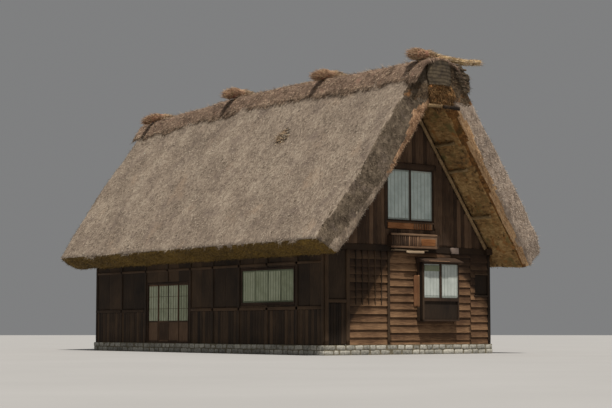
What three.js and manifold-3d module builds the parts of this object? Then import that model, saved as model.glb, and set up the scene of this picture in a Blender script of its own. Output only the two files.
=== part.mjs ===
// A thatched farmhouse with a steep gabled roof, in millimetres, +Z up.
// The origin is the centre of its footprint on the ground. The ridge runs along Y, the
// front gable faces -Y, and the side with the entrance faces -X.
// Every part is a solid of its own. Parts that touch keep a gap of 0.3 mm.
import * as THREE from "three";
import { mergeVertices } from "three/addons/utils/BufferGeometryUtils.js";
import Module from "manifold-3d";

const wasm = await Module();
wasm.setup();

// Walls and storeys
const GAP = 0.3;
const HALF_WIDTH = 3340; // centre to the outer face of a side wall
const HALF_LENGTH = 6850; // centre to the outer face of a gable wall
const WALL = 160; // thickness of every wall
const POST = 200; // square corner posts
const BASE_TOP = 300; // top of the stone base
const BASE_LIP = 60; // how far the stone runs out past the walls
const WALL_TOP = 3150; // underside of the plates and belts
const PLATE_TOP = 3340; // top of the plates and belts
const PLATE_WIDTH = 240;
const BELT_LIP = 40; // how far the belt stands out from the gable wall
const PLATE_LIP = 180; // how far the side plates run out past the gable walls
const FLOOR = 40; // thickness of the floor boards

// Roof
const TAN = 1.43; // slope of the roof
const ANGLE = Math.atan(TAN);
const APEX = 8120; // where the two undersides meet
const THATCH = 900; // thickness square to the slope
const OVERHANG = 1480; // from the gable wall to the verge
const HALF_ROOF = HALF_LENGTH + OVERHANG;
const EAVE_INNER = [3750, 2757]; // lower edge of the cut eave on the right, x and z
const EAVE_INNER_LEFT = [3620, 2945]; // the left eave is trimmed higher
const EAVE_OUTER = [4430, 3354]; // upper edge of the cut eave
const OUTER_APEX = APEX + THATCH / Math.cos(ANGLE);
const RIDGE_TOP = 8905; // top of the thatch
const CAP_FOOT = 1000; // half width of the ridge mat at its lower edge
const CAP_LIP = 60; // how far the mat runs out past the thatch at each end

// The old roof isn't straight. Its forms are given at these places along the ridge.
const BEVEL = { left: 80, right: 250 }; // depth of the bevel on the inner edge of a verge
const BEVEL_RUN = 340; // how far the bevel starts behind the verge
const CANT = 65; // how far the right verge leans back between its outer edge and the bevel
const LEAN = 260; // how far the left verge leans back between its inner and its outer edge
const FULL = HALF_ROOF - BEVEL_RUN;
const STATIONS = [-1, -5 / 6, -2 / 3, -1 / 2, -1 / 3, -1 / 6, 0, 1 / 6, 1 / 3, 1 / 2, 2 / 3, 5 / 6, 1].map(
  (share) => share * FULL,
);
const ARCH = { rise: 80, middle: -500, half: 4500 }; // the raised middle of the ridge
const SINK = { drop: 200, from: 2600, length: 5400, power: 1.3 }; // its sunken back end
const BOW = { from: 6000, over: 2100, depth: 400 }; // height and depth over which both fade in
const HANG = { drop: 120, from: 6400, over: 1900 }; // the hanging corners of the right eave
const HINGE = { inner: 5900, outer: 4000, depth: 600, foot: 6540 }; // where down the slope they bend
const SLANT = { back: 500, from: 3000, full: 6500, fade: 2900 }; // the left verge's foot stands back
const CALM = { top: 600, below: 1200, foot: 6445, above: 1000, depth: 450 }; // edges that don't wave
const WAVES = [
  { height: 22, along: 1.35, down: 0.9, turn: 1.7 }, // turns in radians, for each metre
  { height: 14, along: 0.8, down: -1.6, turn: 1 },
];

// The outer face of the ridge mat from its foot to the roll on its crown, x and z.
const MAT_FACE = [[1020, 8262], [690, 8815], [530, 8930], [260, 8975], [95, 8984], [55, 9012], [0, 9022]];

// Straw bundles across the ridge: for each the place along it, and x, the height of the
// middle and the radius at points from the left end to the right end.
const BUNDLES = [
  {
    y: -7930,
    form: [
      [-870, 9130, 80], [-700, 9150, 170], [-450, 9160, 185], [-200, 9170, 150],
      [50, 9180, 95], [600, 9140, 85], [1300, 9100, 100], [1980, 9160, 95],
    ],
  },
  {
    y: -3230,
    form: [
      [-970, 9020, 90], [-750, 9080, 160], [-450, 9165, 160], [-150, 9180, 120],
      [100, 9180, 100], [500, 9120, 90], [1000, 9000, 70],
    ],
  },
  {
    y: 1980,
    form: [
      [-970, 9080, 100], [-750, 9140, 185], [-450, 9210, 180], [-150, 9210, 130],
      [100, 9200, 100], [500, 9130, 90], [1000, 9020, 70],
    ],
  },
  {
    y: 7450,
    form: [
      [-1010, 8690, 90], [-800, 8780, 150], [-500, 8900, 150], [-150, 8960, 115],
      [100, 8960, 95], [500, 8890, 85], [950, 8760, 65],
    ],
  },
];

// Roof timbers
const PURLIN = 120; // diameter
const PURLIN_AT = [1900, 2870, 4600]; // distance from the apex down the slope
const PURLIN_END = 7750; // half length
const RIDGE_POLE = 160;
const RAFTER = 160; // depth square to the slope
const RAFTER_WIDTH = 130; // along the ridge
const FRAME_AT = [-2280, 2280]; // places of the inner rafter pairs and tie beams
const TIE = [160, 200]; // width and height of a tie beam

// Windows
const JAMB = 50; // width of frame members as seen from outside
const PANE = 25; // thickness of a sliding panel
const FRAME_LIP = 30; // how far a frame stands out from its wall
const FRAME_DEPTH = 110; // how far it reaches into the wall
const UPPER = { x0: -960, x1: 960, z0: 4090, z1: 5740 };
const BAY = { x0: 250, x1: 1770, z0: 1020, z1: 2840, out: 300, sill: 1690 };
const REAR = { x0: -760, x1: 760, z0: 1660, z1: 2840 };
const SIDE = { y0: -5380, y1: -2530, z0: 1550, z1: 2660 };
const DOOR = { y0: 560, y1: 3240, z0: BASE_TOP + GAP, z1: 2350 };
const HOOD = { out: 150, side: 60, rise: 190 };
const APRON = { x0: -900, x1: 900, z0: 3860, z1: UPPER.z0 - GAP };
const SLAT_BOX = { x0: -880, x1: 980, z0: 3270, z1: 3680, out: 220, board: 30 };
const LEDGE = { x0: -800, x1: 570, z0: 3180, z1: 3215, out: 170 };

const paint = (color, roughness = 0.85, metalness = 0) =>
  new THREE.MeshStandardMaterial({ color, roughness, metalness });
const weathered = paint(0x4a3a2c);
const timber = paint(0x6b543c);
const orange = paint(0x7a5434);
const paleBoard = paint(0xa08a6c);
const straw = paint(0x8b7b6a, 0.95);
const oldStraw = paint(0x776551, 0.95);
const bundleStraw = paint(0xa6937a, 0.95);
const paper = paint(0xb4bab4, 0.6);
const stone = paint(0x8c8c80, 0.9);

const house = new THREE.Group();

function add(name, geometry, material) {
  const mesh = new THREE.Mesh(geometry, material);
  mesh.name = name;
  house.add(mesh);
  return mesh;
}

// A box between two corners.
function box(x0, x1, y0, y1, z0, z1) {
  const geometry = new THREE.BoxGeometry(x1 - x0, y1 - y0, z1 - z0);
  return geometry.translate((x0 + x1) / 2, (y0 + y1) / 2, (z0 + z1) / 2);
}

function extrude(points, depth) {
  const shape = new THREE.Shape(points.map(([a, b]) => new THREE.Vector2(a, b)));
  return new THREE.ExtrudeGeometry(shape, { depth, bevelEnabled: false });
}

// A section in x and z, run along y from y0 to y1, with holes cut right through.
function alongY(points, y0, y1, holes = []) {
  const body = extrude(points, y1 - y0).rotateX(Math.PI / 2).translate(0, y1, 0);
  return holes.length ? cut(body, ...holes.map((hole) => alongY(hole, y0 - 10, y1 + 10))) : body;
}

// A section in y and z, run along x from x0 to x1, with holes cut right through.
function alongX(points, x0, x1, holes = []) {
  const turn = new THREE.Matrix4().makeBasis(
    new THREE.Vector3(0, 1, 0),
    new THREE.Vector3(0, 0, 1),
    new THREE.Vector3(1, 0, 0),
  );
  const body = extrude(points, x1 - x0).applyMatrix4(turn).translate(x0, 0, 0);
  return holes.length ? cut(body, ...holes.map((hole) => alongX(hole, x0 - 10, x1 + 10))) : body;
}

const rectangle = (a0, a1, b0, b1) => [
  [a0, b0],
  [a1, b0],
  [a1, b1],
  [a0, b1],
];

// The opening that a frame sits in, a gap larger than the frame all round.
const openingFor = (a0, a1, b0, b1) => rectangle(a0 - GAP, a1 + GAP, b0 - GAP, b1 + GAP);

function toSolid(geometry) {
  const bare = geometry.clone();
  bare.deleteAttribute("normal");
  bare.deleteAttribute("uv");
  const merged = mergeVertices(bare, 1e-3);
  return new wasm.Manifold(
    new wasm.Mesh({
      numProp: 3,
      vertProperties: new Float32Array(merged.attributes.position.array),
      triVerts: new Uint32Array(merged.index.array),
    }),
  );
}

function toGeometry(solid) {
  const mesh = solid.getMesh();
  const geometry = new THREE.BufferGeometry();
  const vertices = new THREE.BufferAttribute(mesh.vertProperties, 3);
  geometry.setAttribute("position", vertices);
  geometry.setIndex(new THREE.BufferAttribute(mesh.triVerts, 1));
  return geometry;
}

// A solid through a row of sections in order of y. Each section is a loop of as many points.
function loft(sections) {
  const count = sections[0].length;
  const outline = sections[0].map(([x, , z]) => new THREE.Vector2(x, z));
  if (THREE.ShapeUtils.isClockWise(outline)) return loft(sections.map((loop) => [...loop].reverse()));
  const index = [];
  for (let j = 0; j < sections.length - 1; j++) {
    for (let i = 0; i < count; i++) {
      const a = j * count + i;
      const b = j * count + ((i + 1) % count);
      index.push(a, a + count, b, b, a + count, b + count);
    }
  }
  const last = (sections.length - 1) * count;
  for (const [a, b, c] of THREE.ShapeUtils.triangulateShape(outline, [])) {
    index.push(a, b, c, last + a, last + c, last + b);
  }
  const geometry = new THREE.BufferGeometry();
  geometry.setAttribute("position", new THREE.Float32BufferAttribute(sections.flat(2), 3));
  geometry.setIndex(index);
  return geometry;
}

const cut = (geometry, ...tools) =>
  toGeometry(tools.reduce((solid, tool) => solid.subtract(toSolid(tool)), toSolid(geometry)));

// A point on the roof: `down` runs from the apex down the right slope, `inward` is square to
// the slope, towards the inside, from the underside of the thatch.
function onSlope(side, down, inward) {
  const x = down * Math.cos(ANGLE) - inward * Math.sin(ANGLE);
  const z = APEX - down * Math.sin(ANGLE) - inward * Math.cos(ANGLE);
  return [side * x, z];
}

// Where a line `inward` of the underside of the thatch is at height z.
const slopeX = (z, inward) => (APEX - inward / Math.cos(ANGLE) - z) / TAN;

function addBase() {
  const halfX = HALF_WIDTH + BASE_LIP;
  const halfY = HALF_LENGTH + BASE_LIP;
  add("stone_base", box(-halfX, halfX, -halfY, halfY, 0, BASE_TOP), stone);
  const floorX = HALF_WIDTH - POST - GAP;
  const floorY = HALF_LENGTH - POST - GAP;
  const z0 = BASE_TOP + GAP;
  const ground = box(-floorX, floorX, -floorY, floorY, z0, z0 + FLOOR);
  add("ground_floor", ground, timber);
}

function addPosts() {
  for (const [side, across] of [["left", -1], ["right", 1]]) {
    for (const [end, along] of [["front", -1], ["back", 1]]) {
      const x = across * (HALF_WIDTH - POST / 2);
      const y = along * (HALF_LENGTH - POST / 2);
      const half = POST / 2;
      const post = box(x - half, x + half, y - half, y + half, BASE_TOP + GAP, WALL_TOP - GAP);
      add(`${end}_${side}_post`, post, weathered);
    }
  }
}

function addLowerWalls() {
  const x = HALF_WIDTH - POST - GAP;
  const y = HALF_LENGTH - POST - GAP;
  const z0 = BASE_TOP + GAP;
  const z1 = WALL_TOP - GAP;
  const across = rectangle(-x, x, z0, z1);
  const along = rectangle(-y, y, z0, z1);
  const bay = rectangle(BAY.x0 + JAMB, BAY.x1 - JAMB, BAY.sill + JAMB, BAY.z1 - JAMB);
  const rear = openingFor(REAR.x0, REAR.x1, REAR.z0, REAR.z1);
  const side = openingFor(SIDE.y0, SIDE.y1, SIDE.z0, SIDE.z1);

  const front = alongY(across, -HALF_LENGTH, -HALF_LENGTH + WALL, [bay]);
  add("front_wall", front, weathered);
  const back = alongY(across, HALF_LENGTH - WALL, HALF_LENGTH, [rear]);
  add("back_wall", back, weathered);
  const right = alongX(along, HALF_WIDTH - WALL, HALF_WIDTH, [side]);
  add("right_wall", right, weathered);

  // The left wall runs round the doorway, which is open down to the base.
  const { y0, y1 } = DOOR;
  const round = [
    [-y, z0],
    [y0 - GAP, z0],
    [y0 - GAP, DOOR.z1 + GAP],
    [y1 + GAP, DOOR.z1 + GAP],
    [y1 + GAP, z0],
    [y, z0],
    [y, z1],
    [-y, z1],
  ];
  const left = alongX(round, -HALF_WIDTH, -HALF_WIDTH + WALL, [side]);
  add("left_wall", left, weathered);
}

// The beams on top of the walls, the tie beams and the attic floor.
function addPlates() {
  const outer = HALF_WIDTH;
  const inner = HALF_WIDTH - PLATE_WIDTH;
  const end = HALF_LENGTH + PLATE_LIP;
  add("left_plate", box(-outer, -inner, -end, end, WALL_TOP, PLATE_TOP), timber);
  add("right_plate", box(inner, outer, -end, end, WALL_TOP, PLATE_TOP), timber);
  const x = inner - GAP;
  const y0 = HALF_LENGTH - POST;
  const y1 = HALF_LENGTH + BELT_LIP;
  add("front_belt", box(-x, x, -y1, -y0, WALL_TOP, PLATE_TOP), weathered);
  add("back_belt", box(-x, x, y0, y1, WALL_TOP, PLATE_TOP), weathered);
  FRAME_AT.forEach((y, i) => {
    const half = TIE[0] / 2;
    const beam = box(-x, x, y - half, y + half, PLATE_TOP - TIE[1], PLATE_TOP);
    add(`tie_beam_${i + 1}`, beam, timber);
  });
  const floorX = slopeX(PLATE_TOP, PURLIN + RAFTER) - 40;
  const floorY = HALF_LENGTH - WALL - GAP;
  const floorZ = PLATE_TOP + GAP;
  const attic = box(-floorX, floorX, -floorY, floorY, floorZ, floorZ + FLOOR);
  add("attic_floor", attic, timber);
}

// The wall of a gable above the belt, notched for the purlins and the ridge pole.
function gableOutline() {
  const half = PURLIN / 2 + GAP;
  const depth = PURLIN + 2 * GAP;
  const z0 = PLATE_TOP + GAP;
  const right = [[slopeX(z0, GAP), z0]];
  for (const down of [...PURLIN_AT].reverse()) {
    right.push(onSlope(1, down + half, GAP), onSlope(1, down + half, depth));
    right.push(onSlope(1, down - half, depth), onSlope(1, down - half, GAP));
  }
  const poleHalf = RIDGE_POLE / 2 + GAP;
  const poleFoot = poleCentre() - RIDGE_POLE / 2 - GAP;
  right.push([poleHalf, APEX - GAP / Math.cos(ANGLE) - poleHalf * TAN], [poleHalf, poleFoot]);
  const left = right.map(([x, z]) => [-x, z]).reverse();
  return [...right, ...left];
}

const poleCentre = () => APEX - (RIDGE_POLE / 2 + GAP) / Math.cos(ANGLE);

function addGables() {
  const hole = openingFor(UPPER.x0, UPPER.x1, UPPER.z0, UPPER.z1);
  const front = alongY(gableOutline(), -HALF_LENGTH, -HALF_LENGTH + WALL, [hole]);
  const back = alongY(gableOutline(), HALF_LENGTH - WALL, HALF_LENGTH, [hole]);
  add("front_gable_wall", front, weathered);
  add("back_gable_wall", back, weathered);
}

// Two rafters that cross under the ridge pole, lashed into one pair.
function rafterPair(y) {
  const topZ = poleCentre() - RIDGE_POLE / 2 - GAP;
  const outer = PURLIN + 2 * GAP;
  const inner = outer + RAFTER;
  const z0 = PLATE_TOP + GAP;
  const section = [
    [slopeX(z0, inner), z0],
    [slopeX(z0, outer), z0],
    [slopeX(topZ, outer), topZ],
    [-slopeX(topZ, outer), topZ],
    [-slopeX(z0, outer), z0],
    [-slopeX(z0, inner), z0],
    [0, APEX - inner / Math.cos(ANGLE)],
  ];
  return alongY(section, y - RAFTER_WIDTH / 2, y + RAFTER_WIDTH / 2);
}

function addRoofTimbers() {
  const outside = HALF_LENGTH + GAP + RAFTER_WIDTH / 2;
  add("front_rafters", rafterPair(-outside), timber);
  add("back_rafters", rafterPair(outside), timber);
  FRAME_AT.forEach((y, i) => add(`inner_rafters_${i + 1}`, rafterPair(y), timber));
  for (const [side, across] of [["left", -1], ["right", 1]]) {
    PURLIN_AT.forEach((down, i) => {
      const purlin = new THREE.CylinderGeometry(PURLIN / 2, PURLIN / 2, 2 * PURLIN_END, 12);
      const [x, z] = onSlope(across, down, PURLIN / 2 + GAP);
      add(`${side}_purlin_${i + 1}`, purlin.translate(x, 0, z), timber);
    });
  }
  const pole = new THREE.CylinderGeometry(RIDGE_POLE / 2, RIDGE_POLE / 2, 2 * PURLIN_END, 12);
  add("ridge_pole", pole.translate(0, 0, poleCentre()), timber);
}

const clamp = (share) => Math.min(Math.max(share, 0), 1);

// The value at `at` on a line through points of ascending place, carried on past its ends.
function onLine(points, at) {
  let i = 0;
  while (i < points.length - 2 && at > points[i + 1][0]) i++;
  const [[a, u], [b, v]] = [points[i], points[i + 1]];
  return u + ((v - u) * (at - a)) / (b - a);
}

// How far the ridge stands above a straight one.
const RIDGE_LINE = STATIONS.map((y) => {
  const arch = ARCH.rise * clamp(1 - ((y - ARCH.middle) / ARCH.half) ** 2);
  const sink = SINK.drop * clamp((y - SINK.from) / SINK.length) ** SINK.power;
  return [y, arch - sink];
});
const ridgeRise = (y) => onLine(RIDGE_LINE, y);

// Moves a point of a straight thatched slope to where the old one is. The ridge is bowed, the
// left slope's verges stand back at their feet, the corners of the right eave hang, and the
// outer face is wavy. Side is -1 on the left.
function settled([x, z], y, side) {
  const down = x * Math.cos(ANGLE) - (z - APEX) * Math.sin(ANGLE);
  const out = x * Math.sin(ANGLE) + (z - APEX) * Math.cos(ANGLE);
  const high = clamp((z - BOW.from) / BOW.over) * clamp(out / BOW.depth);
  const start = HINGE.inner - (HINGE.inner - HINGE.outer) * clamp(out / HINGE.depth);
  const end = clamp((Math.abs(y) - HANG.from) / HANG.over) ** 2;
  const hang = side > 0 ? HANG.drop * end * clamp((down - start) / (HINGE.foot - start)) : 0;
  const foot = clamp((down - SLANT.from) / (SLANT.full - SLANT.from)) ** 2;
  const near = clamp((Math.abs(y) - HALF_ROOF + SLANT.fade) / SLANT.fade);
  const back = side < 0 ? SLANT.back * foot * near : 0;
  const above = clamp((down - CALM.top) / CALM.below);
  const share = above * clamp((CALM.foot - down) / CALM.above) * clamp(out / CALM.depth);
  const wave = WAVES.reduce((sum, { height, along, down: slope, turn }) => {
    return sum + height * Math.sin((along * y + slope * down) / 1000 + turn * side);
  }, 0);
  return [
    side * (x + wave * share * Math.sin(ANGLE)),
    y - Math.sign(y) * back,
    z + wave * share * Math.cos(ANGLE) + ridgeRise(y) * high - hang,
  ];
}

// The outer face of the thatch, from the eave up and over to the middle of the ridge.
const thatchBack = () => [
  EAVE_OUTER,
  ...[3756, 3082, 2408, 1734, 1060, 640].map((x) => [x, OUTER_APEX - x * TAN]),
  [500, 8860],
  [250, RIDGE_TOP - 7],
  [GAP / 2, RIDGE_TOP],
];

function thatchSlope(side) {
  const hinge = onSlope(1, HINGE.inner, 0);
  const inner = side < 0 ? EAVE_INNER_LEFT : EAVE_INNER;
  const full = [[GAP / 2, APEX], hinge, inner, ...thatchBack()];
  const bevel = side < 0 ? BEVEL.left : BEVEL.right;
  const share = bevel / THATCH;
  const bevelled = [
    [GAP / 2, APEX + bevel / Math.cos(ANGLE)],
    onSlope(1, HINGE.inner, -bevel),
    [0, 1].map((i) => inner[i] + (EAVE_OUTER[i] - inner[i]) * share),
    ...thatchBack(),
  ];
  const end = (sign) =>
    bevelled.map((point, i) => {
      const [x, y, z] = settled(point, sign * HALF_ROOF, side);
      const back = side < 0 ? (i < 3 ? 0 : LEAN) : i < 3 ? CANT : 0;
      return [x, y - sign * back, z];
    });
  const reach = side < 0 ? FULL - LEAN : FULL;
  const places = STATIONS.map((y) => Math.sign(y) * Math.min(Math.abs(y), reach));
  return loft([end(-1), ...places.map((y) => full.map((point) => settled(point, y, side))), end(1)]);
}

function addThatch() {
  add("thatch_left", thatchSlope(-1), straw);
  add("thatch_right", thatchSlope(1), straw);
}

// A line offset by `by` to its right-hand side, with mitred corners.
function offset(line, by) {
  const normals = line.slice(1).map(([x, z], i) => {
    const [dx, dz] = [x - line[i][0], z - line[i][1]];
    const length = Math.hypot(dx, dz);
    return [dz / length, -dx / length];
  });
  return line.map(([x, z], i) => {
    const [ax, az] = normals[Math.max(i - 1, 0)];
    const [bx, bz] = normals[Math.min(i, normals.length - 1)];
    const share = by / (1 + ax * bx + az * bz);
    return [x + (ax + bx) * share, z + (az + bz) * share];
  });
}

const mirrored = (line) => line.map(([x, z]) => [-x, z]).reverse();

// The mat over the ridge with the roll on its crown.
function addRidgeCap() {
  const right = [[CAP_FOOT, OUTER_APEX - CAP_FOOT * TAN], ...thatchBack().slice(6, -1)];
  const line = [...right, [0, RIDGE_TOP], ...mirrored(right)];
  const section = [...MAT_FACE, ...mirrored(MAT_FACE.slice(0, -1)), ...offset(line, GAP).reverse()];
  const end = HALF_ROOF + CAP_LIP;
  const places = [-end, ...STATIONS.slice(1, -1), end];
  add("ridge_cap", loft(places.map((y) => section.map(([x, z]) => [x, y, z + ridgeRise(y)]))), oldStraw);
}

// A straw bundle across the ridge, lifted or lowered until it rests on the mat.
function strawBundle({ y, form }) {
  const middles = form.map(([x, z]) => [x, z]);
  const radii = form.map(([x, , r]) => [x, r]);
  const face = [...mirrored(MAT_FACE.slice(0, -1)), ...MAT_FACE].sort((a, b) => a[0] - b[0]);
  const [first, last] = [form[0][0], form.at(-1)[0]];
  const onMat = (x) => x >= first && x <= last && Math.abs(x) <= MAT_FACE[0][0];
  const tests = [...form, ...face].map(([x]) => x).filter(onMat);
  const sunk = (x) => onLine(face, x) + ridgeRise(y) - onLine(middles, x) + onLine(radii, x);
  const lift = Math.max(...tests.map(sunk));
  const profile = [[0, first], ...form.map(([x, , r]) => [r, x]), [0, last]];
  const points = profile.map(([r, x]) => new THREE.Vector2(r, x));
  const log = new THREE.LatheGeometry(points, 12).rotateZ(-Math.PI / 2);
  const place = log.attributes.position;
  for (let i = 0; i < place.count; i++) {
    place.setZ(i, place.getZ(i) + onLine(middles, place.getX(i)) + lift + 2 * GAP);
  }
  return log.translate(0, y, 0);
}

function addBundles() {
  BUNDLES.forEach((bundle, i) => {
    add(`ridge_bundle_${i + 1}`, strawBundle(bundle), bundleStraw);
  });
}

const within = ({ x0, x1, z0, z1 }) => ({
  x0: x0 + JAMB, x1: x1 - JAMB, z0: z0 + JAMB, z1: z1 - JAMB,
});

// A frame in a gable wall with one mullion. The lights are the holes of the frame.
function twoLights(rect) {
  const { x0, x1, z0, z1 } = within(rect);
  const middle = (x0 + x1) / 2;
  const half = JAMB / 2;
  return [rectangle(x0, middle - half, z0, z1), rectangle(middle + half, x1, z0, z1)];
}

const panelIn = (light, y0, y1) => {
  const xs = light.map(([x]) => x);
  const zs = light.map(([, z]) => z);
  const [x0, x1] = [Math.min(...xs) + GAP, Math.max(...xs) - GAP];
  const [z0, z1] = [Math.min(...zs) + GAP, Math.max(...zs) - GAP];
  return box(x0, x1, y0, y1, z0, z1);
};

function addUpperWindows() {
  const face = -HALF_LENGTH;
  const lights = twoLights(UPPER);
  const { x0, x1, z0, z1 } = UPPER;
  const outer = rectangle(x0, x1, z0, z1);
  const frame = alongY(outer, face - FRAME_LIP, face + FRAME_DEPTH, lights);
  add("front_upper_window_frame", frame, weathered);
  ["left", "right"].forEach((side, i) => {
    const panel = panelIn(lights[i], face + 5, face + 5 + PANE);
    add(`front_upper_${side}_panel`, panel, paper);
  });
  const opening = rectangle(x0 + JAMB, x1 - JAMB, z0 + JAMB, z1 - JAMB);
  const rear = alongY(outer, -face - FRAME_DEPTH, -face + FRAME_LIP, [opening]);
  add("back_upper_window_frame", rear, weathered);
  add("back_upper_panels", panelIn(opening, -face - 5 - PANE, -face - 5), paper);
}

// What hangs on the front wall between the two window rows.
function addFrontJoinery() {
  const belt = -HALF_LENGTH - BELT_LIP - GAP;
  const face = -HALF_LENGTH - GAP;
  const { x0, x1, z0, z1 } = APRON;
  add("front_apron", box(x0, x1, face - 30, face, z0, z1), orange);
  const slats = SLAT_BOX;
  const body = box(slats.x0, slats.x1, belt - slats.out, belt, slats.z0, slats.z1);
  const t = slats.board;
  const hollow = box(
    slats.x0 + t, slats.x1 - t, belt - slats.out + t, belt - t, slats.z0 + t, slats.z1 + 50,
  );
  add("front_slat_box", cut(body, hollow), timber);
  const ledge = LEDGE;
  add("front_ledge", box(ledge.x0, ledge.x1, belt - ledge.out, belt, ledge.z0, ledge.z1), paleBoard);
}

function addBay() {
  const face = -HALF_LENGTH - GAP;
  const front = face - BAY.out;
  const { x0, x1, z0, z1, sill } = BAY;
  const lights = twoLights({ x0, x1, z0: sill, z1 });
  const low = rectangle(x0 + JAMB, x1 - JAMB, z0 + JAMB, sill - JAMB);
  const frame = alongY(rectangle(x0, x1, z0, z1), front, face, [...lights, low]);
  add("bay_frame", frame, orange);
  add("bay_left_panel", panelIn(lights[0], front + 25, front + 25 + PANE), paper);
  add("bay_right_panel", panelIn(lights[1], front + 25, front + 25 + PANE), paper);
  add("bay_lower_panel", panelIn(low, front + 40, front + 70), weathered);
  const foot = z1 + GAP;
  const hood = [
    [face, foot],
    [front - HOOD.out, foot],
    [front - HOOD.out, foot + 30],
    [face, foot + HOOD.rise],
  ];
  add("bay_hood", alongX(hood, x0 - HOOD.side, x1 + HOOD.side), weathered);
}

function addRearWindow() {
  const face = HALF_LENGTH;
  const { x0, x1, z0, z1 } = REAR;
  const opening = rectangle(x0 + JAMB, x1 - JAMB, z0 + JAMB, z1 - JAMB);
  const outer = rectangle(x0, x1, z0, z1);
  const frame = alongY(outer, face - FRAME_DEPTH, face + FRAME_LIP, [opening]);
  add("back_lower_window_frame", frame, weathered);
  add("back_lower_panels", panelIn(opening, face - 5 - PANE, face - 5), paper);
}

// A window or doorway in a side wall: across is -1 for the left wall and 1 for the right.
function sideFrame(name, panels, across, { y0, y1, z0, z1 }) {
  const face = across * HALF_WIDTH;
  const [a, b] = [face + across * FRAME_LIP, face - across * FRAME_DEPTH];
  const opening = rectangle(y0 + JAMB, y1 - JAMB, z0 + JAMB, z1 - JAMB);
  const outer = rectangle(y0, y1, z0, z1);
  add(name, alongX(outer, Math.min(a, b), Math.max(a, b), [opening]), weathered);
  const [c, d] = [face - across * 5, face - across * (5 + PANE)];
  const sheet = box(
    Math.min(c, d), Math.max(c, d),
    y0 + JAMB + GAP, y1 - JAMB - GAP, z0 + JAMB + GAP, z1 - JAMB - GAP,
  );
  add(panels, sheet, paper);
}

function addSideOpenings() {
  sideFrame("left_window_frame", "left_window_panels", -1, SIDE);
  sideFrame("right_window_frame", "right_window_panels", 1, SIDE);
  sideFrame("entrance_frame", "entrance_panels", -1, DOOR);
}

addBase();
addPosts();
addLowerWalls();
addPlates();
addGables();
addRoofTimbers();
addThatch();
addRidgeCap();
addBundles();
addUpperWindows();
addFrontJoinery();
addBay();
addRearWindow();
addSideOpenings();

export default house;
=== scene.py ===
"""Dresses the thatched farmhouse: boards, windows, stones, poles and the straw roof."""

import logging
import math
from collections.abc import Callable, Sequence
from dataclasses import dataclass
from enum import Enum, IntEnum
from typing import NamedTuple

import bpy
import numpy as np
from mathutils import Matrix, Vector


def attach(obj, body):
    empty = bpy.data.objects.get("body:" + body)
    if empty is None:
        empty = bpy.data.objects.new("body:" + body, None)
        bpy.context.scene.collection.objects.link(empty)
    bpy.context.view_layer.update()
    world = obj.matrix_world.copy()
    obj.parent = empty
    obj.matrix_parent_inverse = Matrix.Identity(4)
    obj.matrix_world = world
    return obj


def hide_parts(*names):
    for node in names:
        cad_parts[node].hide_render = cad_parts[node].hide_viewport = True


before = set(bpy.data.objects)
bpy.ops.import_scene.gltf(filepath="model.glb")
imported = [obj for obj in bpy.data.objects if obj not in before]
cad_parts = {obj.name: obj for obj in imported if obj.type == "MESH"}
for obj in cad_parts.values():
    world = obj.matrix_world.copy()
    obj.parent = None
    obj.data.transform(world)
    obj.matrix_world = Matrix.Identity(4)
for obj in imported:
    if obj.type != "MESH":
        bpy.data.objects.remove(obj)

log = logging.getLogger("farmhouse")

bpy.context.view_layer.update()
MM = 0.001

# A span is two limits, a rectangle its limits across and up, and a section the x and z
# of its corners.
Span = tuple[float, float]
Rect = tuple[float, float, float, float]
Section = Sequence[tuple[float, float]]
Point = tuple[float, float, float]
Piece = bpy.types.Object
Pair = tuple[np.ndarray, np.ndarray]
Tree = bpy.types.NodeTree
Socket = bpy.types.NodeSocket


class Side(Enum):
    """The two long sides of the house."""

    LEFT = -1
    RIGHT = 1


class End(Enum):
    """The two gable ends."""

    FRONT = -1
    BACK = 1


class Run(Enum):
    """The direction in which the grain or the straws of a finish run."""

    X = (0.06, 1.0, 1.0)
    Y = (1.0, 0.06, 1.0)
    Z = (1.0, 1.0, 0.06)


# Walls and storeys, in metres, as in the frame
HALF_WIDTH = 3.34
HALF_LENGTH = 6.85
BASE_TOP = 0.3
BOARD_FOOT = BASE_TOP + 0.002
WALL_TOP = 3.15
PLATE_TOP = 3.34

# Roof, in metres: its fall for each metre across, the apex of its underside and its eaves
FALL = 1.43
SLOPE = math.atan(FALL)
APEX = 8.12
THATCH = 0.9
HALF_ROOF = 8.33
EAVE_INNER = {Side.LEFT: (3.62, 2.945), Side.RIGHT: (3.75, 2.757)}
EAVE_OUTER = (4.43, 3.354)
OUTER_APEX = APEX + THATCH / math.cos(SLOPE)
RIDGE_TOP = 8.905
RIDGE_ROUND = [(0.64, 8.774), (0.5, 8.86), (0.25, 8.898), (0.0, RIDGE_TOP)]


# Colour and nodes


def colour(code: str) -> tuple[float, float, float, float]:
    """Turns an sRGB hex value to a linear colour.

    Args:
        code: Six hex digits.

    Returns:
        Red, green, blue and an alpha of 1.
    """
    parts = [int(code[i : i + 2], 16) / 255 for i in (0, 2, 4)]
    linear = [c / 12.92 if c <= 0.04045 else ((c + 0.055) / 1.055) ** 2.4 for c in parts]
    return (*linear, 1.0)


def per(size_mm: float) -> float:
    """The scale of a noise whose lumps are this many millimetres wide."""
    return 1 / (size_mm * MM)


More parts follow.
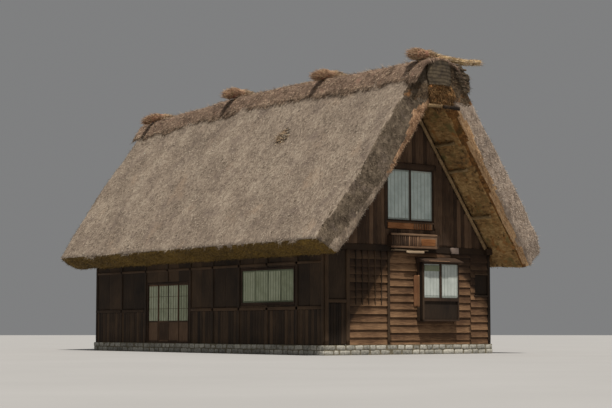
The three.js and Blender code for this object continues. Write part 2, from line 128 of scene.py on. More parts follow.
def add(tree: Tree, kind: str, inputs: dict, stops: tuple = (), **settings) -> Socket:
    """Adds a node to a tree with its settings, values and links.

    Args:
        tree: The tree that gets the node.
        kind: The node's type without its prefix, such as TexNoise.
        inputs: Socket name or number to a value, or to the output that feeds it.
        stops: Pairs of a position and a hex colour for a colour ramp.
        **settings: Attributes of the node.

    Returns:
        The output of the node that carries its result.
    """
    made = tree.nodes.new("ShaderNode" + kind)
    for name, value in settings.items():
        setattr(made, name, value)
    for key, value in inputs.items():
        if isinstance(value, bpy.types.NodeSocket):
            tree.links.new(value, made.inputs[key])
        else:
            made.inputs[key].default_value = value
    if stops:
        elements = made.color_ramp.elements
        while len(elements) < len(stops):
            elements.new(0.5)
        for element, (position, code) in zip(elements, stops):
            element.position, element.color = position, colour(code)
    result = {"TexNoise": "Fac", "Attribute": "Fac", "TexCoord": "Object", "VectorMath": "Value"}
    return made.outputs[result.get(kind, 0)]


@dataclass(frozen=True)
class Stain:
    """Patches of another colour on a finish, such as moss, damp or newer straw."""

    code: str
    size_mm: float = 500.0
    start: float = 0.5
    full: float = 0.62

    def share(self, tree: Tree, place: Socket) -> Socket:
        """How much of each spot the patches cover.

        Args:
            tree: The tree of the material.
            place: The socket with the place on the piece.

        Returns:
            The socket with the share.
        """
        clouds = {"Vector": place, "Scale": per(self.size_mm), "Detail": 5.0, "Roughness": 0.62}
        spread = add(tree, "TexNoise", clouds)
        return add(tree, "MapRange", {"Value": spread, "From Min": self.start, "From Max": self.full})


@dataclass(frozen=True)
class PaintedGableShadow(Stain):
    """The gable's shadow on the front wall, painted into the boards as a darker colour.

    It lies above two slanting lines that meet under the ridge: each has a slope, and
    the right one lies lower by a drop. The edge is the height at which it starts and
    is full, and most is how dark it gets.
    """

    left_slope: float = -1.234
    right_slope: float = 0.789
    drop: float = 0.2
    edge: Span = (3.9, 4.02)
    most: float = 0.72

    def share(self, tree: Tree, place: Socket) -> Socket:
        """How dark the painted shadow makes each spot.

        Args:
            tree: The tree of the material.
            place: The socket with the place on the piece.

        Returns:
            The socket with the share.
        """
        slopes = ((self.left_slope, 0.0, 1.0), (self.right_slope, 0.0, 1.0))
        left, right = (
            add(tree, "VectorMath", {0: place, 1: slope}, operation="DOT_PRODUCT") for slope in slopes
        )
        lower = add(tree, "Math", {0: right, 1: self.drop}, operation="SUBTRACT")
        above = add(tree, "Math", {0: left, 1: lower}, operation="MAXIMUM")
        start, full = self.edge
        reach = {"Value": above, "From Min": start, "From Max": full, "To Max": self.most}
        return add(tree, "MapRange", reach)


class Pattern(NamedTuple):
    """What a finish draws: a tone, a relief with its depth in metres, and its range of tones."""

    tone: Socket
    height: Socket
    depth: float
    darkest: float
    lightest: float


@dataclass(frozen=True)
class Finish:
    """What every finish shares: its name, its tones from dark to light and its roughness."""

    name: str
    dark: str
    middle: str
    light: str
    roughness: float = 0.85
    stains: tuple[Stain, ...] = ()

    def build(self) -> bpy.types.Material:
        """Makes the material, the first time that it is asked for.

        Returns:
            The material.
        """
        known = bpy.data.materials.get(self.name)
        if known:
            return known
        material = bpy.data.materials.new(self.name)
        material.use_nodes = True
        tree = material.node_tree
        shader = tree.nodes["Principled BSDF"]
        shader.inputs["Roughness"].default_value = self.roughness
        shader.inputs["Specular IOR Level"].default_value = 0.25
        place = add(tree, "TexCoord", {})
        drawn = self.pattern(tree, place)
        half_way = drawn.darkest + (drawn.lightest - drawn.darkest) * 0.5
        stops = ((drawn.darkest, self.dark), (half_way, self.middle), (drawn.lightest, self.light))
        shades = add(tree, "ValToRGB", {"Fac": drawn.tone}, stops)
        for stain in self.stains:
            mixed = {"Fac": stain.share(tree, place), "Color1": shades, "Color2": colour(stain.code)}
            shades = add(tree, "MixRGB", mixed)
        tree.links.new(shades, shader.inputs["Base Color"])
        if drawn.depth:
            relief = {"Height": drawn.height, "Distance": drawn.depth, "Strength": 1.0}
            tree.links.new(add(tree, "Bump", relief), shader.inputs["Normal"])
        return material

    def pattern(self, tree: Tree, place: Socket) -> Pattern:
        """Draws the pattern of the finish, which each kind of finish does in its own way."""
        raise NotImplementedError


@dataclass(frozen=True)
class SawnBoard(Finish):
    """Sawn cedar that weather has dulled: raised grain lines, and a tone for each board.

    The real grain is 1 to 3 mm wide. It is drawn coarser, so that it shows.
    """

    run: Run = Run.Z
    grain_mm: float = 16.0
    stain_mm: float = 769.23
    grain_share: float = 0.5
    stain_share: float = 0.4
    tint_share: float = 0.3

    def pattern(self, tree: Tree, place: Socket) -> Pattern:
        """Draws grain lines over broad stains.

        Args:
            tree: The tree of the material.
            place: The socket with the place on the piece.

        Returns:
            The pattern.
        """
        scaled = add(tree, "Mapping", {"Vector": place, "Scale": self.run.value})
        lines = {"Vector": scaled, "Scale": per(self.grain_mm), "Detail": 5.0, "Roughness": 0.6}
        grain = add(tree, "TexNoise", lines)
        stain = add(tree, "TexNoise", {"Vector": place, "Scale": per(self.stain_mm), "Detail": 4.0})
        tint = add(tree, "Attribute", {}, attribute_name="tint")
        tone = add(tree, "Math", {0: grain, 1: self.grain_share}, operation="MULTIPLY")
        for layer, share in ((stain, self.stain_share), (tint, self.tint_share)):
            tone = add(tree, "Math", {0: layer, 1: share, 2: tone}, operation="MULTIPLY_ADD")
        return Pattern(tone, grain, depth=0.004, darkest=0.34, lightest=0.8)


@dataclass(frozen=True)
class RoundPole(Finish):
    """A peeled pole browned by smoke: long drying cracks over broad stains.

    The real cracks are a few millimetres wide. They are drawn coarser, so that they show.
    """

    run: Run = Run.Y
    crack_mm: float = 18.1818
    stain_mm: float = 454.545
    stain_share: float = 0.5

    def pattern(self, tree: Tree, place: Socket) -> Pattern:
        """Draws cracks that follow the pole.

        Args:
            tree: The tree of the material.
            place: The socket with the place on the piece.

        Returns:
            The pattern.
        """
        scaled = add(tree, "Mapping", {"Vector": place, "Scale": self.run.value})
        lines = {"Vector": scaled, "Scale": per(self.crack_mm), "Detail": 4.0, "Roughness": 0.7}
        crack = add(tree, "TexNoise", lines)
        stain = add(tree, "TexNoise", {"Vector": place, "Scale": per(self.stain_mm), "Detail": 3.0})
        tone = add(tree, "Math", {0: stain, 1: self.stain_share, 2: crack}, operation="MULTIPLY_ADD")
        return Pattern(tone, crack, depth=0.006, darkest=0.55, lightest=0.98)


@dataclass(frozen=True)
class Thatch(Finish):
    """Straw in bulk: streaks that follow the straws over weathered patches a metre wide.

    A real straw is 4 to 8 mm wide. The streaks are several straws wide, so that they show.
    """

    stretch: Point = (0.14, 1.0, 0.14)
    straw_mm: float = 45.0
    depth: float = 0.02
    patch_mm: float = 1111.11
    patch_share: float = 0.5

    def pattern(self, tree: Tree, place: Socket) -> Pattern:
        """Draws streaks over broad patches.

        Args:
            tree: The tree of the material.
            place: The socket with the place on the piece.

        Returns:
            The pattern.
        """
        scaled = add(tree, "Mapping", {"Vector": place, "Scale": self.stretch})
        lines = {"Vector": scaled, "Scale": per(self.straw_mm), "Detail": 6.0, "Roughness": 0.7}
        streak = add(tree, "TexNoise", lines)
        patches = {"Vector": place, "Scale": per(self.patch_mm), "Detail": 8.0, "Roughness": 0.66}
        broad = add(tree, "TexNoise", patches)
        tone = add(tree, "Math", {0: broad, 1: self.patch_share, 2: streak}, operation="MULTIPLY_ADD")
        darkest = 0.3 + 0.5 * self.patch_share
        return Pattern(tone, streak, self.depth, darkest, darkest + 0.42)


@dataclass(frozen=True)
class LooseStraw(Finish):
    """Single straws, each with a tone of its own, dull where old and glossy where new."""

    patch_mm: float = 1111.11
    patch_share: float = 0.6

    def pattern(self, tree: Tree, place: Socket) -> Pattern:
        """Draws the tone of each straw, changed a little by broad patches.

        Args:
            tree: The tree of the material.
            place: The socket with the place on the piece.

        Returns:
            The pattern.
        """
        tint = add(tree, "Attribute", {}, attribute_name="tint")
        broad = add(tree, "TexNoise", {"Vector": place, "Scale": per(self.patch_mm), "Detail": 5.0})
        tone = add(tree, "Math", {0: broad, 1: self.patch_share, 2: tint}, operation="MULTIPLY_ADD")
        return Pattern(tone, broad, depth=0.0, darkest=0.3, lightest=1.3)


@dataclass(frozen=True)
class Mottled(Finish):
    """Spots and stains of one size, as on stone, earth, bark, rope and paper."""

    spot_mm: float = 60.0
    depth: float = 0.004
    tint_share: float = 0.3

    def pattern(self, tree: Tree, place: Socket) -> Pattern:
        """Draws spots of the stated size with finer ones in them.

        Args:
            tree: The tree of the material.
            place: The socket with the place on the piece.

        Returns:
            The pattern.
        """
        clouds = {"Vector": place, "Scale": per(self.spot_mm), "Detail": 6.0, "Roughness": 0.6}
        spots = add(tree, "TexNoise", clouds)
        tint = add(tree, "Attribute", {}, attribute_name="tint")
        tone = add(tree, "Math", {0: tint, 1: self.tint_share, 2: spots}, operation="MULTIPLY_ADD")
        return Pattern(tone, spots, self.depth, darkest=0.38, lightest=0.85)


# Finishes of the wood. Sawn cedar left raw goes grey-brown in the weather. The near-black
# and the darker finishes below are partly painted shade, as each one says. All of it is matt.

# Boards of the back wall, out in the weather: plain brown with a grey bloom.
WALL_BOARD = SawnBoard("cedar_boards_laid_flat", "35271c", "5e4735", "7d644e", run=Run.X)
# Upright boards and frames under the roof's edge: dark brown, a tone for each board.
UPRIGHT_BOARD = SawnBoard("cedar_boards_set_upright", "20160f", "443326", "69523f", run=Run.Z)
# Boards painted almost black: at the front's left corner and by the hatch the black is
# painted deep shade; on the bay it is the colour of its darkest strips and bar.
NEAR_BLACK_AND_PAINTED_SHADE_BOARD = SawnBoard("cedar_boards_black_with_damp", "110c08", "261c13", "3f3124", run=Run.Z)
# Boards of the long walls deep under the eaves, of the front battens and of the panel under
# the bay: dark, with little red; on the long walls and under the bay the dark is painted shade.
SHADED_BOARD = SawnBoard("cedar_boards_under_the_eave", "17100b", "31251a", "4e3c2b", run=Run.Z)
# Beams and floors along the house: dark, with grain that runs lengthwise.
SIDE_BOARD = SawnBoard("cedar_boards_of_the_long_walls", "1b130d", "38291b", "5a4532", run=Run.Y)
# Lapped boards of the front: warm brown, with the gable's shadow painted on in near black.
FRONT_BOARD = SawnBoard(
    "lapped_cedar_of_the_front", "261912", "563e2b", "967556", run=Run.X, stains=(PaintedGableShadow("211812"),)
)
# Cedar put in a few years ago: still orange and a little brighter.
NEW_BOARD = SawnBoard("newer_cedar_laid_flat", "3f2713", "704626", "95663e", run=Run.X)
NEW_UPRIGHT = SawnBoard("newer_cedar_set_upright", "3f2a1c", "6f4c33", "8f6b4d", run=Run.Z)
# Planed cedar under the upper window: smooth and orange, the brightest wood of the front.
APRON_BOARD = SawnBoard("planed_cedar_under_the_window", "744726", "bb8257", "d4a074", run=Run.X)
# Slats and a board bleached by rain: grey-tan to straw-coloured, with soft grain.
SLAT_BOARD = SawnBoard("cedar_slats_bleached_by_rain", "3d2c20", "6b503c", "94755a", run=Run.Z)
PALE_BOARD = SawnBoard("bleached_cedar_board", "75614a", "a8937a", "cdbda5", run=Run.X)
# The sawn end of a beam: end grain takes up rain and goes silver-grey.
BEAM_END = SawnBoard("grey_end_grain_of_a_beam", "40362f", "685a50", "877870", run=Run.Y)
# Bars of the window leaves: thin cedar, painted a pale grey-green. The darker olive copy
# for the long sides and the bay's pane head is painted shade of the eaves and the hood.
LEAF_WOOD = SawnBoard("painted_window_bars", "757d77", "979e98", "acb2ac", run=Run.Z)
SHADED_WOOD = SawnBoard("window_bars_in_painted_shade", "4e5441", "727963", "8d937b", run=Run.Z)

# Finishes of the chestnut and cedar poles. Hearth smoke browns them, and a pole whose
# bark came off late stays paler. They are matt, with long cracks.

# The dark half of the short bar in the gable top: near black, as painted shade.
POLE_IN_PAINTED_SHADE = RoundPole("pole_painted_black_for_shade", "120d09", "2a2018", "4b3c2d", run=Run.X)
# The needle poles that stick through the ridge: smoked to a middle brown.
POLE = RoundPole("smoked_pole", "2e2114", "5f4a31", "93795a", run=Run.Y)
# Purlins out under the verges: dry and tan.
PURLIN_POLE = RoundPole("dry_purlin_pole", "54452f", "87714f", "b09873", run=Run.Y)
# Rafters of the gables and the ridge pole: pale, with brown cracks.
PALE_POLE = RoundPole("pale_pole", "4a3a26", "8a7252", "b59c78", run=Run.Z)

# Finishes of the thatch. It is miscanthus reed laid in bundles and beaten level. Rain
# turns its outside a dull grey-tan, and its cut ends stay mottled.

# The slopes: grey-tan, with darker and rosier patches where it stays wet.
SLOPE_THATCH = Thatch(
    "weathered_thatch", "5c5147", "887a6c", "ada190", stretch=(0.4, 1.0, 0.4), straw_mm=50.0,
    stains=(Stain("71645a", 700.0, 0.52, 0.7), Stain("93806e", 1300.0, 0.58, 0.76)),
)
# The cut face of the left verge, turned away from the sun: dark grey-brown and mottled.
VERGE_THATCH = Thatch(
    "cut_thatch_of_the_verge", "41372c", "665a4c", "827463", stretch=(1.0, 0.6, 1.0), straw_mm=130.0,
    depth=0.035, stains=(Stain("4d4136", 420.0, 0.53, 0.68), Stain("6f6258", 600.0, 0.55, 0.68)),
)
# The cut face of the right verge: the same cut thatch painted pale and soft, as sunlight.
SUNNY_VERGE = Thatch(
    "cut_thatch_painted_sunlit", "766759", "a39284", "c6b6a6", stretch=(1.0, 0.6, 1.0), straw_mm=130.0,
    depth=0.022, stains=(Stain("93857a", 350.0, 0.52, 0.68),),
)
# The top of the verges under the ridge mat: dark, as painted shade of the mat, with rust-brown straws.
TOP_VERGE = Thatch(
    "cut_thatch_by_the_ridge", "32281e", "574838", "7b6a55", stretch=(1.0, 0.6, 1.0), straw_mm=90.0,
    depth=0.035, stains=(Stain("7a5636", 240.0, 0.56, 0.66), Stain("786a5c", 330.0, 0.58, 0.68)),
)
# The underside, never rained on: ochre, with olive, orange and dark patches.
UNDER_THATCH = Thatch(
    "thatch_seen_from_below", "56422d", "9a794d", "c6a674", stretch=(1.0, 0.4, 1.0), straw_mm=90.0,
    depth=0.03,
    stains=(
        Stain("776b43", 420.0, 0.54, 0.68),
        Stain("9a6d3f", 300.0, 0.55, 0.66),
        Stain("46341c", 240.0, 0.58, 0.68),
    ),
)
# The band inside the right verge: brown reed with dark gaps, painted darker as the shade under its bevel.
EDGE_THATCH = Thatch(
    "brown_thatch_inside_the_verge", "3c2812", "704b26", "966e3e", stretch=(1.0, 0.4, 1.0),
    straw_mm=80.0, depth=0.03, stains=(Stain("4c3a1c", 260.0, 0.52, 0.62),),
)
# The cut eave, which drips and grows moss: olive-brown.
EAVE_THATCH = Thatch(
    "cut_thatch_of_the_eave", "362910", "5c4619", "846a2c", stretch=(1.0, 0.4, 1.0), straw_mm=50.0,
    depth=0.03,
)
# The first layer of reed, laid with its ends out: rust-brown near the ridge, grey lower
# down on the left, and light tan on the sunny right.
RUST_THATCH = Thatch(
    "brown_reed_lining", "69503a", "a58366", "cbaa89", stretch=(0.2, 1.0, 0.2), straw_mm=60.0, depth=0.03
)
GREY_THATCH = Thatch(
    "grey_reed_lining", "63564a", "908070", "b8a896", stretch=(0.2, 1.0, 0.2), straw_mm=60.0, depth=0.03
)
REED_THATCH = Thatch(
    "light_reed_lining", "806546", "b8946f", "dab98f", stretch=(0.2, 1.0, 0.2), straw_mm=50.0
)
# Torn and stepped layers: dark; on the stepped flaps of the ridge the dark is painted
# shade between the steps.
HOLLOW_THATCH = Thatch(
    "dark_hollow_in_the_thatch", "2c241b", "4a3f33", "6a5c4c", stretch=(0.4, 1.0, 0.4), depth=0.03
)
# The ridge mat, older than the rest: dark, with rosy-brown patches.
CAP_THATCH = Thatch(
    "dark_straw_of_the_ridge_mat", "4a3c32", "7a6556", "a08b78", stretch=(0.5, 1.0, 0.5), depth=0.03,
    stains=(Stain("554438", 300.0, 0.54, 0.66), Stain("8e7060", 420.0, 0.58, 0.7)),
)
# Rice straw of the bundles and the roll, renewed more often: still gold, with fine streaks.
BUNDLE_THATCH = Thatch(
    "rice_straw_of_the_bundles", "6a5437", "ad9268", "dcc79a", stretch=(0.1, 1.0, 1.0), straw_mm=25.0
)
ROLL_THATCH = Thatch(
    "tan_straw_of_the_ridge_roll", "7c5c3e", "bd956e", "dfba93", stretch=(1.0, 0.15, 1.0), straw_mm=25.0
)
# The thick heads of the bundles, which face the rain: brown with wine-red stains.
HEAD_THATCH = Thatch(
    "weathered_heads_of_the_bundles", "5a4533", "937760", "c2a486", stretch=(0.1, 1.0, 1.0),
    straw_mm=25.0, stains=(Stain("8a5c4c", 260.0, 0.5, 0.62),),
)
# The straw stuffed into the gable top: rust and dark brown, in loose tufts.
PLUG_THATCH = Thatch(
    "old_straw_in_the_gable_top", "2f210f", "5c4126", "8c6b42", stretch=(1.0, 1.0, 0.25), straw_mm=60.0,
    depth=0.03, stains=(Stain("3a2d19", 190.0, 0.5, 0.6), Stain("a06a38", 160.0, 0.56, 0.64)),
)

# Finishes of single straws. A straw has a waxy skin, so it keeps a faint sheen and
# shows lighter than the bulk that it lies on.

# Straws on the slopes and in the grey lining: grey-tan.
SLOPE_STRAW = LooseStraw("weathered_straws", "6c6155", "948676", "c0b3a3", roughness=0.7)
# Short cut straws on the left verge: brown-grey, some pale.
VERGE_STRAW = LooseStraw("straws_of_the_cut_faces", "453b2f", "756858", "a1927d", roughness=0.7)
# Short cut straws on the right verge: painted almost white, as sunlight.
SUNNY_STRAW = LooseStraw("bleached_straws_of_the_verge", "7c6f62", "b0a192", "d6c8b8", roughness=0.7)
# Short straws on the eave: mossy ochre.
EAVE_STRAW = LooseStraw("straws_of_the_eave", "3e3014", "665022", "907844", roughness=0.7)
# Straws of the gable plug: dark rust with light tips.
PLUG_STRAW = LooseStraw("straws_in_the_gable_top", "412c15", "6e4e2e", "b08a5c", roughness=0.7)
# Straws on the ridge mat: brown to pale tan.
CAP_STRAW = LooseStraw("straws_of_the_ridge_mat", "58493c", "8e7966", "c2ad96", roughness=0.7)
# Straws of the end flaps and the verge tops: dark brown, as painted shade by the ridge.
FLAP_STRAW = LooseStraw("dark_straws_by_the_ridge", "2e2419", "5a4a38", "8c785e", roughness=0.7)
# Straws of the roll on the crown: warm tan.
ROLL_STRAW = LooseStraw("tan_straws_of_the_roll", "8a6a4a", "c09a76", "e0c29e", roughness=0.65)
# Reeds of the light lining: yellow-tan.
REED_STRAW = LooseStraw("light_reeds", "9c7f5e", "cda983", "ecd2ac", roughness=0.65)
# Straws of the bundle heads and of the left lining: brown to rosy tan.
HEAD_STRAW = LooseStraw("straws_of_the_bundle_heads", "70553f", "a9836a", "dcbf9e", roughness=0.65)
# Fresh rice straw of the stalks: the lightest and glossiest straw.
BUNDLE_STRAW = LooseStraw("rice_straws", "8e7456", "c6aa8c", "ead6b8", roughness=0.6)

# Finishes of the other materials.

# Twisted rice straw rope: darker than the bundles that it holds.
ROPE = Mottled("straw_rope", "4a3a24", "7d6644", "a88f66", spot_mm=12.0)
# Paper on the window leaves: matt and even, in three tones that paint light and shade.
# Under the gable it is blue-grey and lighter, as a painted reflection of the sky; in the sun
# it is nearly white; under the long eaves it is green-grey, painted darker as their shade.
PAPER = Mottled(
    "window_paper", "a8b6b3", "bac8c5", "c8d4d1", roughness=0.5, spot_mm=300.0, depth=0.0005
)
SUNNY_PAPER = Mottled(
    "window_paper_in_the_sun", "a7aeaa", "b7beb9", "c5cbc6", roughness=0.6, spot_mm=300.0, depth=0.0005
)
SHADED_PAPER = Mottled(
    "window_paper_of_the_long_sides", "7f866c", "91987f", "a1a78f", roughness=0.6, spot_mm=300.0,
    depth=0.0005,
)
# River stones: light grey, with lichen spots and a rough face.
STONE = Mottled(
    "river_stone", "6f6d64", "95938a", "b9b6ab", roughness=0.9, spot_mm=70.0, depth=0.008
)
# Lime and earth packed between the stones: dull, grainy and a little darker.
EARTH = Mottled("lime_and_earth", "5d5748", "7d7664", "99917d", roughness=0.95, spot_mm=40.0)
# Cedar bark, laid over the end of the ridge: smooth, grey-olive, with long stains.
BARK = Mottled("cedar_bark", "3b332a", "594e3e", "6c604d", spot_mm=160.0, depth=0.006)
# The studio floor: an even pale grey, matt and without relief.
FLOOR = Mottled(
    "studio_floor", "a4a4a4", "a7a7a7", "aaaaaa", roughness=0.9, spot_mm=4000.0, depth=0.0
)


# Modelling


def deselect() -> None:
    """Leaves edit mode and deselects everything."""
    if bpy.context.object and bpy.context.object.mode != "OBJECT":
        bpy.ops.object.mode_set(mode="OBJECT")
    bpy.ops.object.select_all(action="DESELECT")


def only(piece: Piece) -> Piece:
    """Selects one piece and nothing else.

    Args:
        piece: What is selected.

    Returns:
        The same object.
    """
    deselect()
    piece.select_set(True)
    bpy.context.view_layer.objects.active = piece
    return piece


def settle(piece: Piece) -> Piece:
    """Puts the place, turn and size of a piece into its mesh.

    Args:
        piece: What is settled.

    Returns:
        The same object.
    """
    only(piece)
    bpy.ops.object.transform_apply(location=True, rotation=True, scale=True)
    return piece


def block(edge: float, segments: int = 1) -> Piece:
    """A squared model of one metre round the origin, with eased edges.

    Args:
        edge: Width of the eased edge.
        segments: Number of faces across the eased edge.

    Returns:
        The new object.
    """
    deselect()
    bpy.ops.mesh.primitive_cube_add(size=1)
    piece = settle(bpy.context.object)
    bpy.ops.object.mode_set(mode="EDIT")
    bpy.ops.mesh.select_all(action="SELECT")
    bpy.ops.mesh.bevel(offset=edge, segments=segments, affect="EDGES")
    bpy.ops.object.mode_set(mode="OBJECT")
    return piece


def coordinates(piece: Piece) -> np.ndarray:
    """The vertices of a piece.

    Args:
        piece: The piece.

    Returns:
        One row of x, y and z for each vertex.
    """
    flat = np.empty(len(piece.data.vertices) * 3, dtype=np.float32)
    piece.data.vertices.foreach_get("co", flat)
    return flat.reshape(-1, 3).astype(float)


def move_to(piece: Piece, points: np.ndarray) -> None:
    """Gives the vertices of a piece new places."""
    piece.data.vertices.foreach_set("co", points.astype(np.float32).ravel())
    piece.data.update()


def normals(piece: Piece) -> np.ndarray:
    """The vertex normals of a piece.

    Args:
        piece: The piece.

    Returns:
        One row of x, y and z for each vertex.
    """
    flat = np.empty(len(piece.data.vertices) * 3, dtype=np.float32)
    piece.data.vertex_normals.foreach_get("vector", flat)
    return flat.reshape(-1, 3).astype(float)


def unit(rows: np.ndarray) -> np.ndarray:
    """Rows scaled to length 1."""
    return rows / np.maximum(np.linalg.norm(rows, axis=1), 1e-9)[:, None]


# Numbers without a pattern of their own, which mix the cells of the noise
MIX = [np.uint64(number) for number in (73856093, 19349663, 83492791)]
MIX_SEED = 2654435761
MIX_ALL = np.uint64(0x5BD1E9955BD1E995)
LOW_BITS = 0xFFFFF


def noise(points: np.ndarray, seed: int) -> np.ndarray:
    """Smooth noise from -1 to 1 on a unit lattice.

    Args:
        points: Rows of three numbers.
        seed: Which noise it is.

    Returns:
        One value for each row.
    """
    cell = np.floor(points).astype(np.int64)
    part = points - cell
    part = part * part * (3 - 2 * part)
    total = np.zeros(len(points))
    for corner in range(8):
        step = np.array([corner & 1, corner >> 1 & 1, corner >> 2 & 1])
        at = (cell + step + 4096).astype(np.uint64)
        mixed = (at[:, 0] * MIX[0]) ^ (at[:, 1] * MIX[1]) ^ (at[:, 2] * MIX[2])
        mixed = mixed ^ np.uint64(seed * MIX_SEED)
        mixed = (mixed ^ (mixed >> np.uint64(13))) * MIX_ALL
        mixed = mixed ^ (mixed >> np.uint64(29))
        value = (mixed & np.uint64(LOW_BITS)).astype(float) / (LOW_BITS // 2) - 1
        total += value * np.where(step == 1, part, 1 - part).prod(axis=1)
    return total


def lumps(points: np.ndarray, size: float, height: float, seed: int) -> np.ndarray:
    """Smooth noise with lumps of a size and a height in metres."""
    return height * noise(points / size, seed)


def ramp(value: np.ndarray, start: float | np.ndarray, length: float | np.ndarray) -> np.ndarray:
    """A share that is 0 up to a start and 1 from a length past it."""
    return np.clip((value - start) / length, 0, 1)


def remesh(piece: Piece, voxel: float, rounds: int) -> Piece:
    """Turns a shape into an even net of faces and softens its edges.

    Args:
        piece: A closed shape.
        voxel: Size of a face in metres.
        rounds: How many times the net is smoothed.

    Returns:
        The same object.
    """
    only(piece)
    net = piece.modifiers.new("net", "REMESH")
    net.mode, net.voxel_size = "VOXEL", voxel
    bpy.ops.object.modifier_apply(modifier="net")
    if rounds:
        soft = piece.modifiers.new("soft", "SMOOTH")
        soft.factor, soft.iterations = 0.5, rounds
        bpy.ops.object.modifier_apply(modifier="soft")
    return piece


def prism(section: Section, y0: float, y1: float) -> Piece:
    """A closed shape with a section in x and z, run along the ridge.

    Args:
        section: The corners of the section in order.
        y0: Where it starts.
        y1: Where it ends.

    Returns:
        The new object.
    """
    deselect()
    bpy.ops.mesh.primitive_circle_add(vertices=len(section), radius=1, fill_type="NGON")
    piece = bpy.context.object
    for vertex, (x, z) in zip(piece.data.vertices, section):
        vertex.co = (x, y0, z)
    bpy.ops.object.mode_set(mode="EDIT")
    bpy.ops.mesh.select_all(action="SELECT")
    bpy.ops.mesh.extrude_region_move(TRANSFORM_OT_translate={"value": (0, y1 - y0, 0)})
    bpy.ops.mesh.select_all(action="SELECT")
    bpy.ops.mesh.normals_make_consistent(inside=False)
    bpy.ops.object.mode_set(mode="OBJECT")
    return piece


def shade(piece: Piece, *finishes: Finish) -> Piece:
    """Gives a piece its finishes and smooth shading.

    Args:
        piece: The piece.
        *finishes: Its finishes, in the order of their numbers on the faces.

    Returns:
        The same object.
    """
    only(piece)
    bpy.ops.object.shade_smooth_by_angle(angle=math.radians(50))
    piece.data.materials.clear()
    for finish in finishes:
        piece.data.materials.append(finish.build())
    return piece


def from_rows(name: str, points: np.ndarray, faces: np.ndarray, tint: np.ndarray, finish: Finish) -> Piece:
    """One mesh of many small copies.

    Args:
        name: The piece's name.
        points: Rows of vertices.
        faces: Rows of vertex numbers.
        tint: A tone from 0 to 1 for each vertex.
        finish: Its finish.

    Returns:
        The new object.
    """
    mesh = bpy.data.meshes.new(name)
    mesh.vertices.add(len(points))
    mesh.vertices.foreach_set("co", points.astype(np.float32).ravel())
    mesh.loops.add(faces.size)
    mesh.loops.foreach_set("vertex_index", faces.astype(np.int32).ravel())
    mesh.polygons.add(len(faces))
    starts = np.arange(0, faces.size, faces.shape[1], dtype=np.int32)
    mesh.polygons.foreach_set("loop_start", starts)
    mesh.update(calc_edges=True)
    mesh.validate()
    tones = mesh.attributes.new("tint", "FLOAT", "POINT")
    tones.data.foreach_set("value", tint.astype(np.float32))
    mesh.materials.append(finish.build())
    piece = bpy.data.objects.new(name, mesh)
    bpy.context.collection.objects.link(piece)
    return piece


def copies(
    name: str, model: Piece, places: list[np.ndarray], finish: Finish, seed: int, fade: float = 0.0
) -> Piece:
    """Joins copies of one model into a single piece and removes the model.

    Args:
        name: The piece's name.
        model: What is repeated, made round the origin.
        places: One 4 by 4 matrix for each copy.
        finish: The finish of the piece.
        seed: Which tones the copies get.
        fade: How much of the tone falls from the foot of a copy to its head; on the lapped boards this is
            painted shade under the board above.

    Returns:
        The new object.
    """
    only(model)
    bpy.ops.object.mode_set(mode="EDIT")
    bpy.ops.mesh.select_all(action="SELECT")
    bpy.ops.mesh.quads_convert_to_tris()
    bpy.ops.object.mode_set(mode="OBJECT")
    base = coordinates(model)
    faces = np.array([list(face.vertices) for face in model.data.polygons])
    bpy.data.objects.remove(model)
    stack = np.array(places)
    ones = np.hstack([base, np.ones((len(base), 1))])
    points = (ones @ stack.transpose(0, 2, 1))[:, :, :3].reshape(-1, 3)
    numbers = faces[None] + (np.arange(len(stack)) * len(base))[:, None, None]
    tint = np.random.default_rng(seed).random(len(stack)).repeat(len(base))
    # The tone falls towards the head of each copy: painted shade where it is used on lapped boards.
    tint = tint * (1 - fade) + fade * np.tile(0.5 - base[:, 2], len(stack))
    return from_rows(name, points, numbers.reshape(-1, 3), tint, finish)


def fitted(low: Point, high: Point) -> np.ndarray:
    """The matrix that fits a model of one metre round the origin between two corners.

    Args:
        low: Lowest corner.
        high: Highest corner.

    Returns:
        A 4 by 4 matrix.
    """
    place = np.eye(4)
    lo, hi = np.array(low, dtype=float), np.array(high, dtype=float)
    place[range(3), range(3)] = hi - lo
    place[:3, 3] = (lo + hi) / 2
    return place


NARROWEST = 0.02  # narrower strips of board are left out


def around(rect: Rect, hole: Rect) -> list[Rect]:
    """The parts of a board that are left round a hole.

    Args:
        rect: The board as its limits across and up.
        hole: The hole in the same form.

    Returns:
        The parts as rectangles.
    """
    a0, a1, b0, b1 = rect
    h0, h1, k0, k1 = hole
    if h0 >= a1 or h1 <= a0 or k0 >= b1 or k1 <= b0:
        return [rect]
    middle = (max(a0, h0), min(a1, h1))
    parts = [(a0, h0, b0, b1), (h1, a1, b0, b1), (*middle, b0, k0), (*middle, k1, b1)]
    return [p for p in parts if p[1] - p[0] > NARROWEST and p[3] - p[2] > NARROWEST]


def clear_of(rect: Rect, holes: list[Rect]) -> list[Rect]:
    """The parts of a board that are left round several holes.

    Args:
        rect: The board as its limits across and up.
        holes: The holes in the same form.

    Returns:
        The parts as rectangles.
    """
    parts = [rect]
    for hole in holes:
        parts = [p for part in parts for p in around(part, hole)]
    return parts


def fewer(count: int) -> int:
    return count // 1


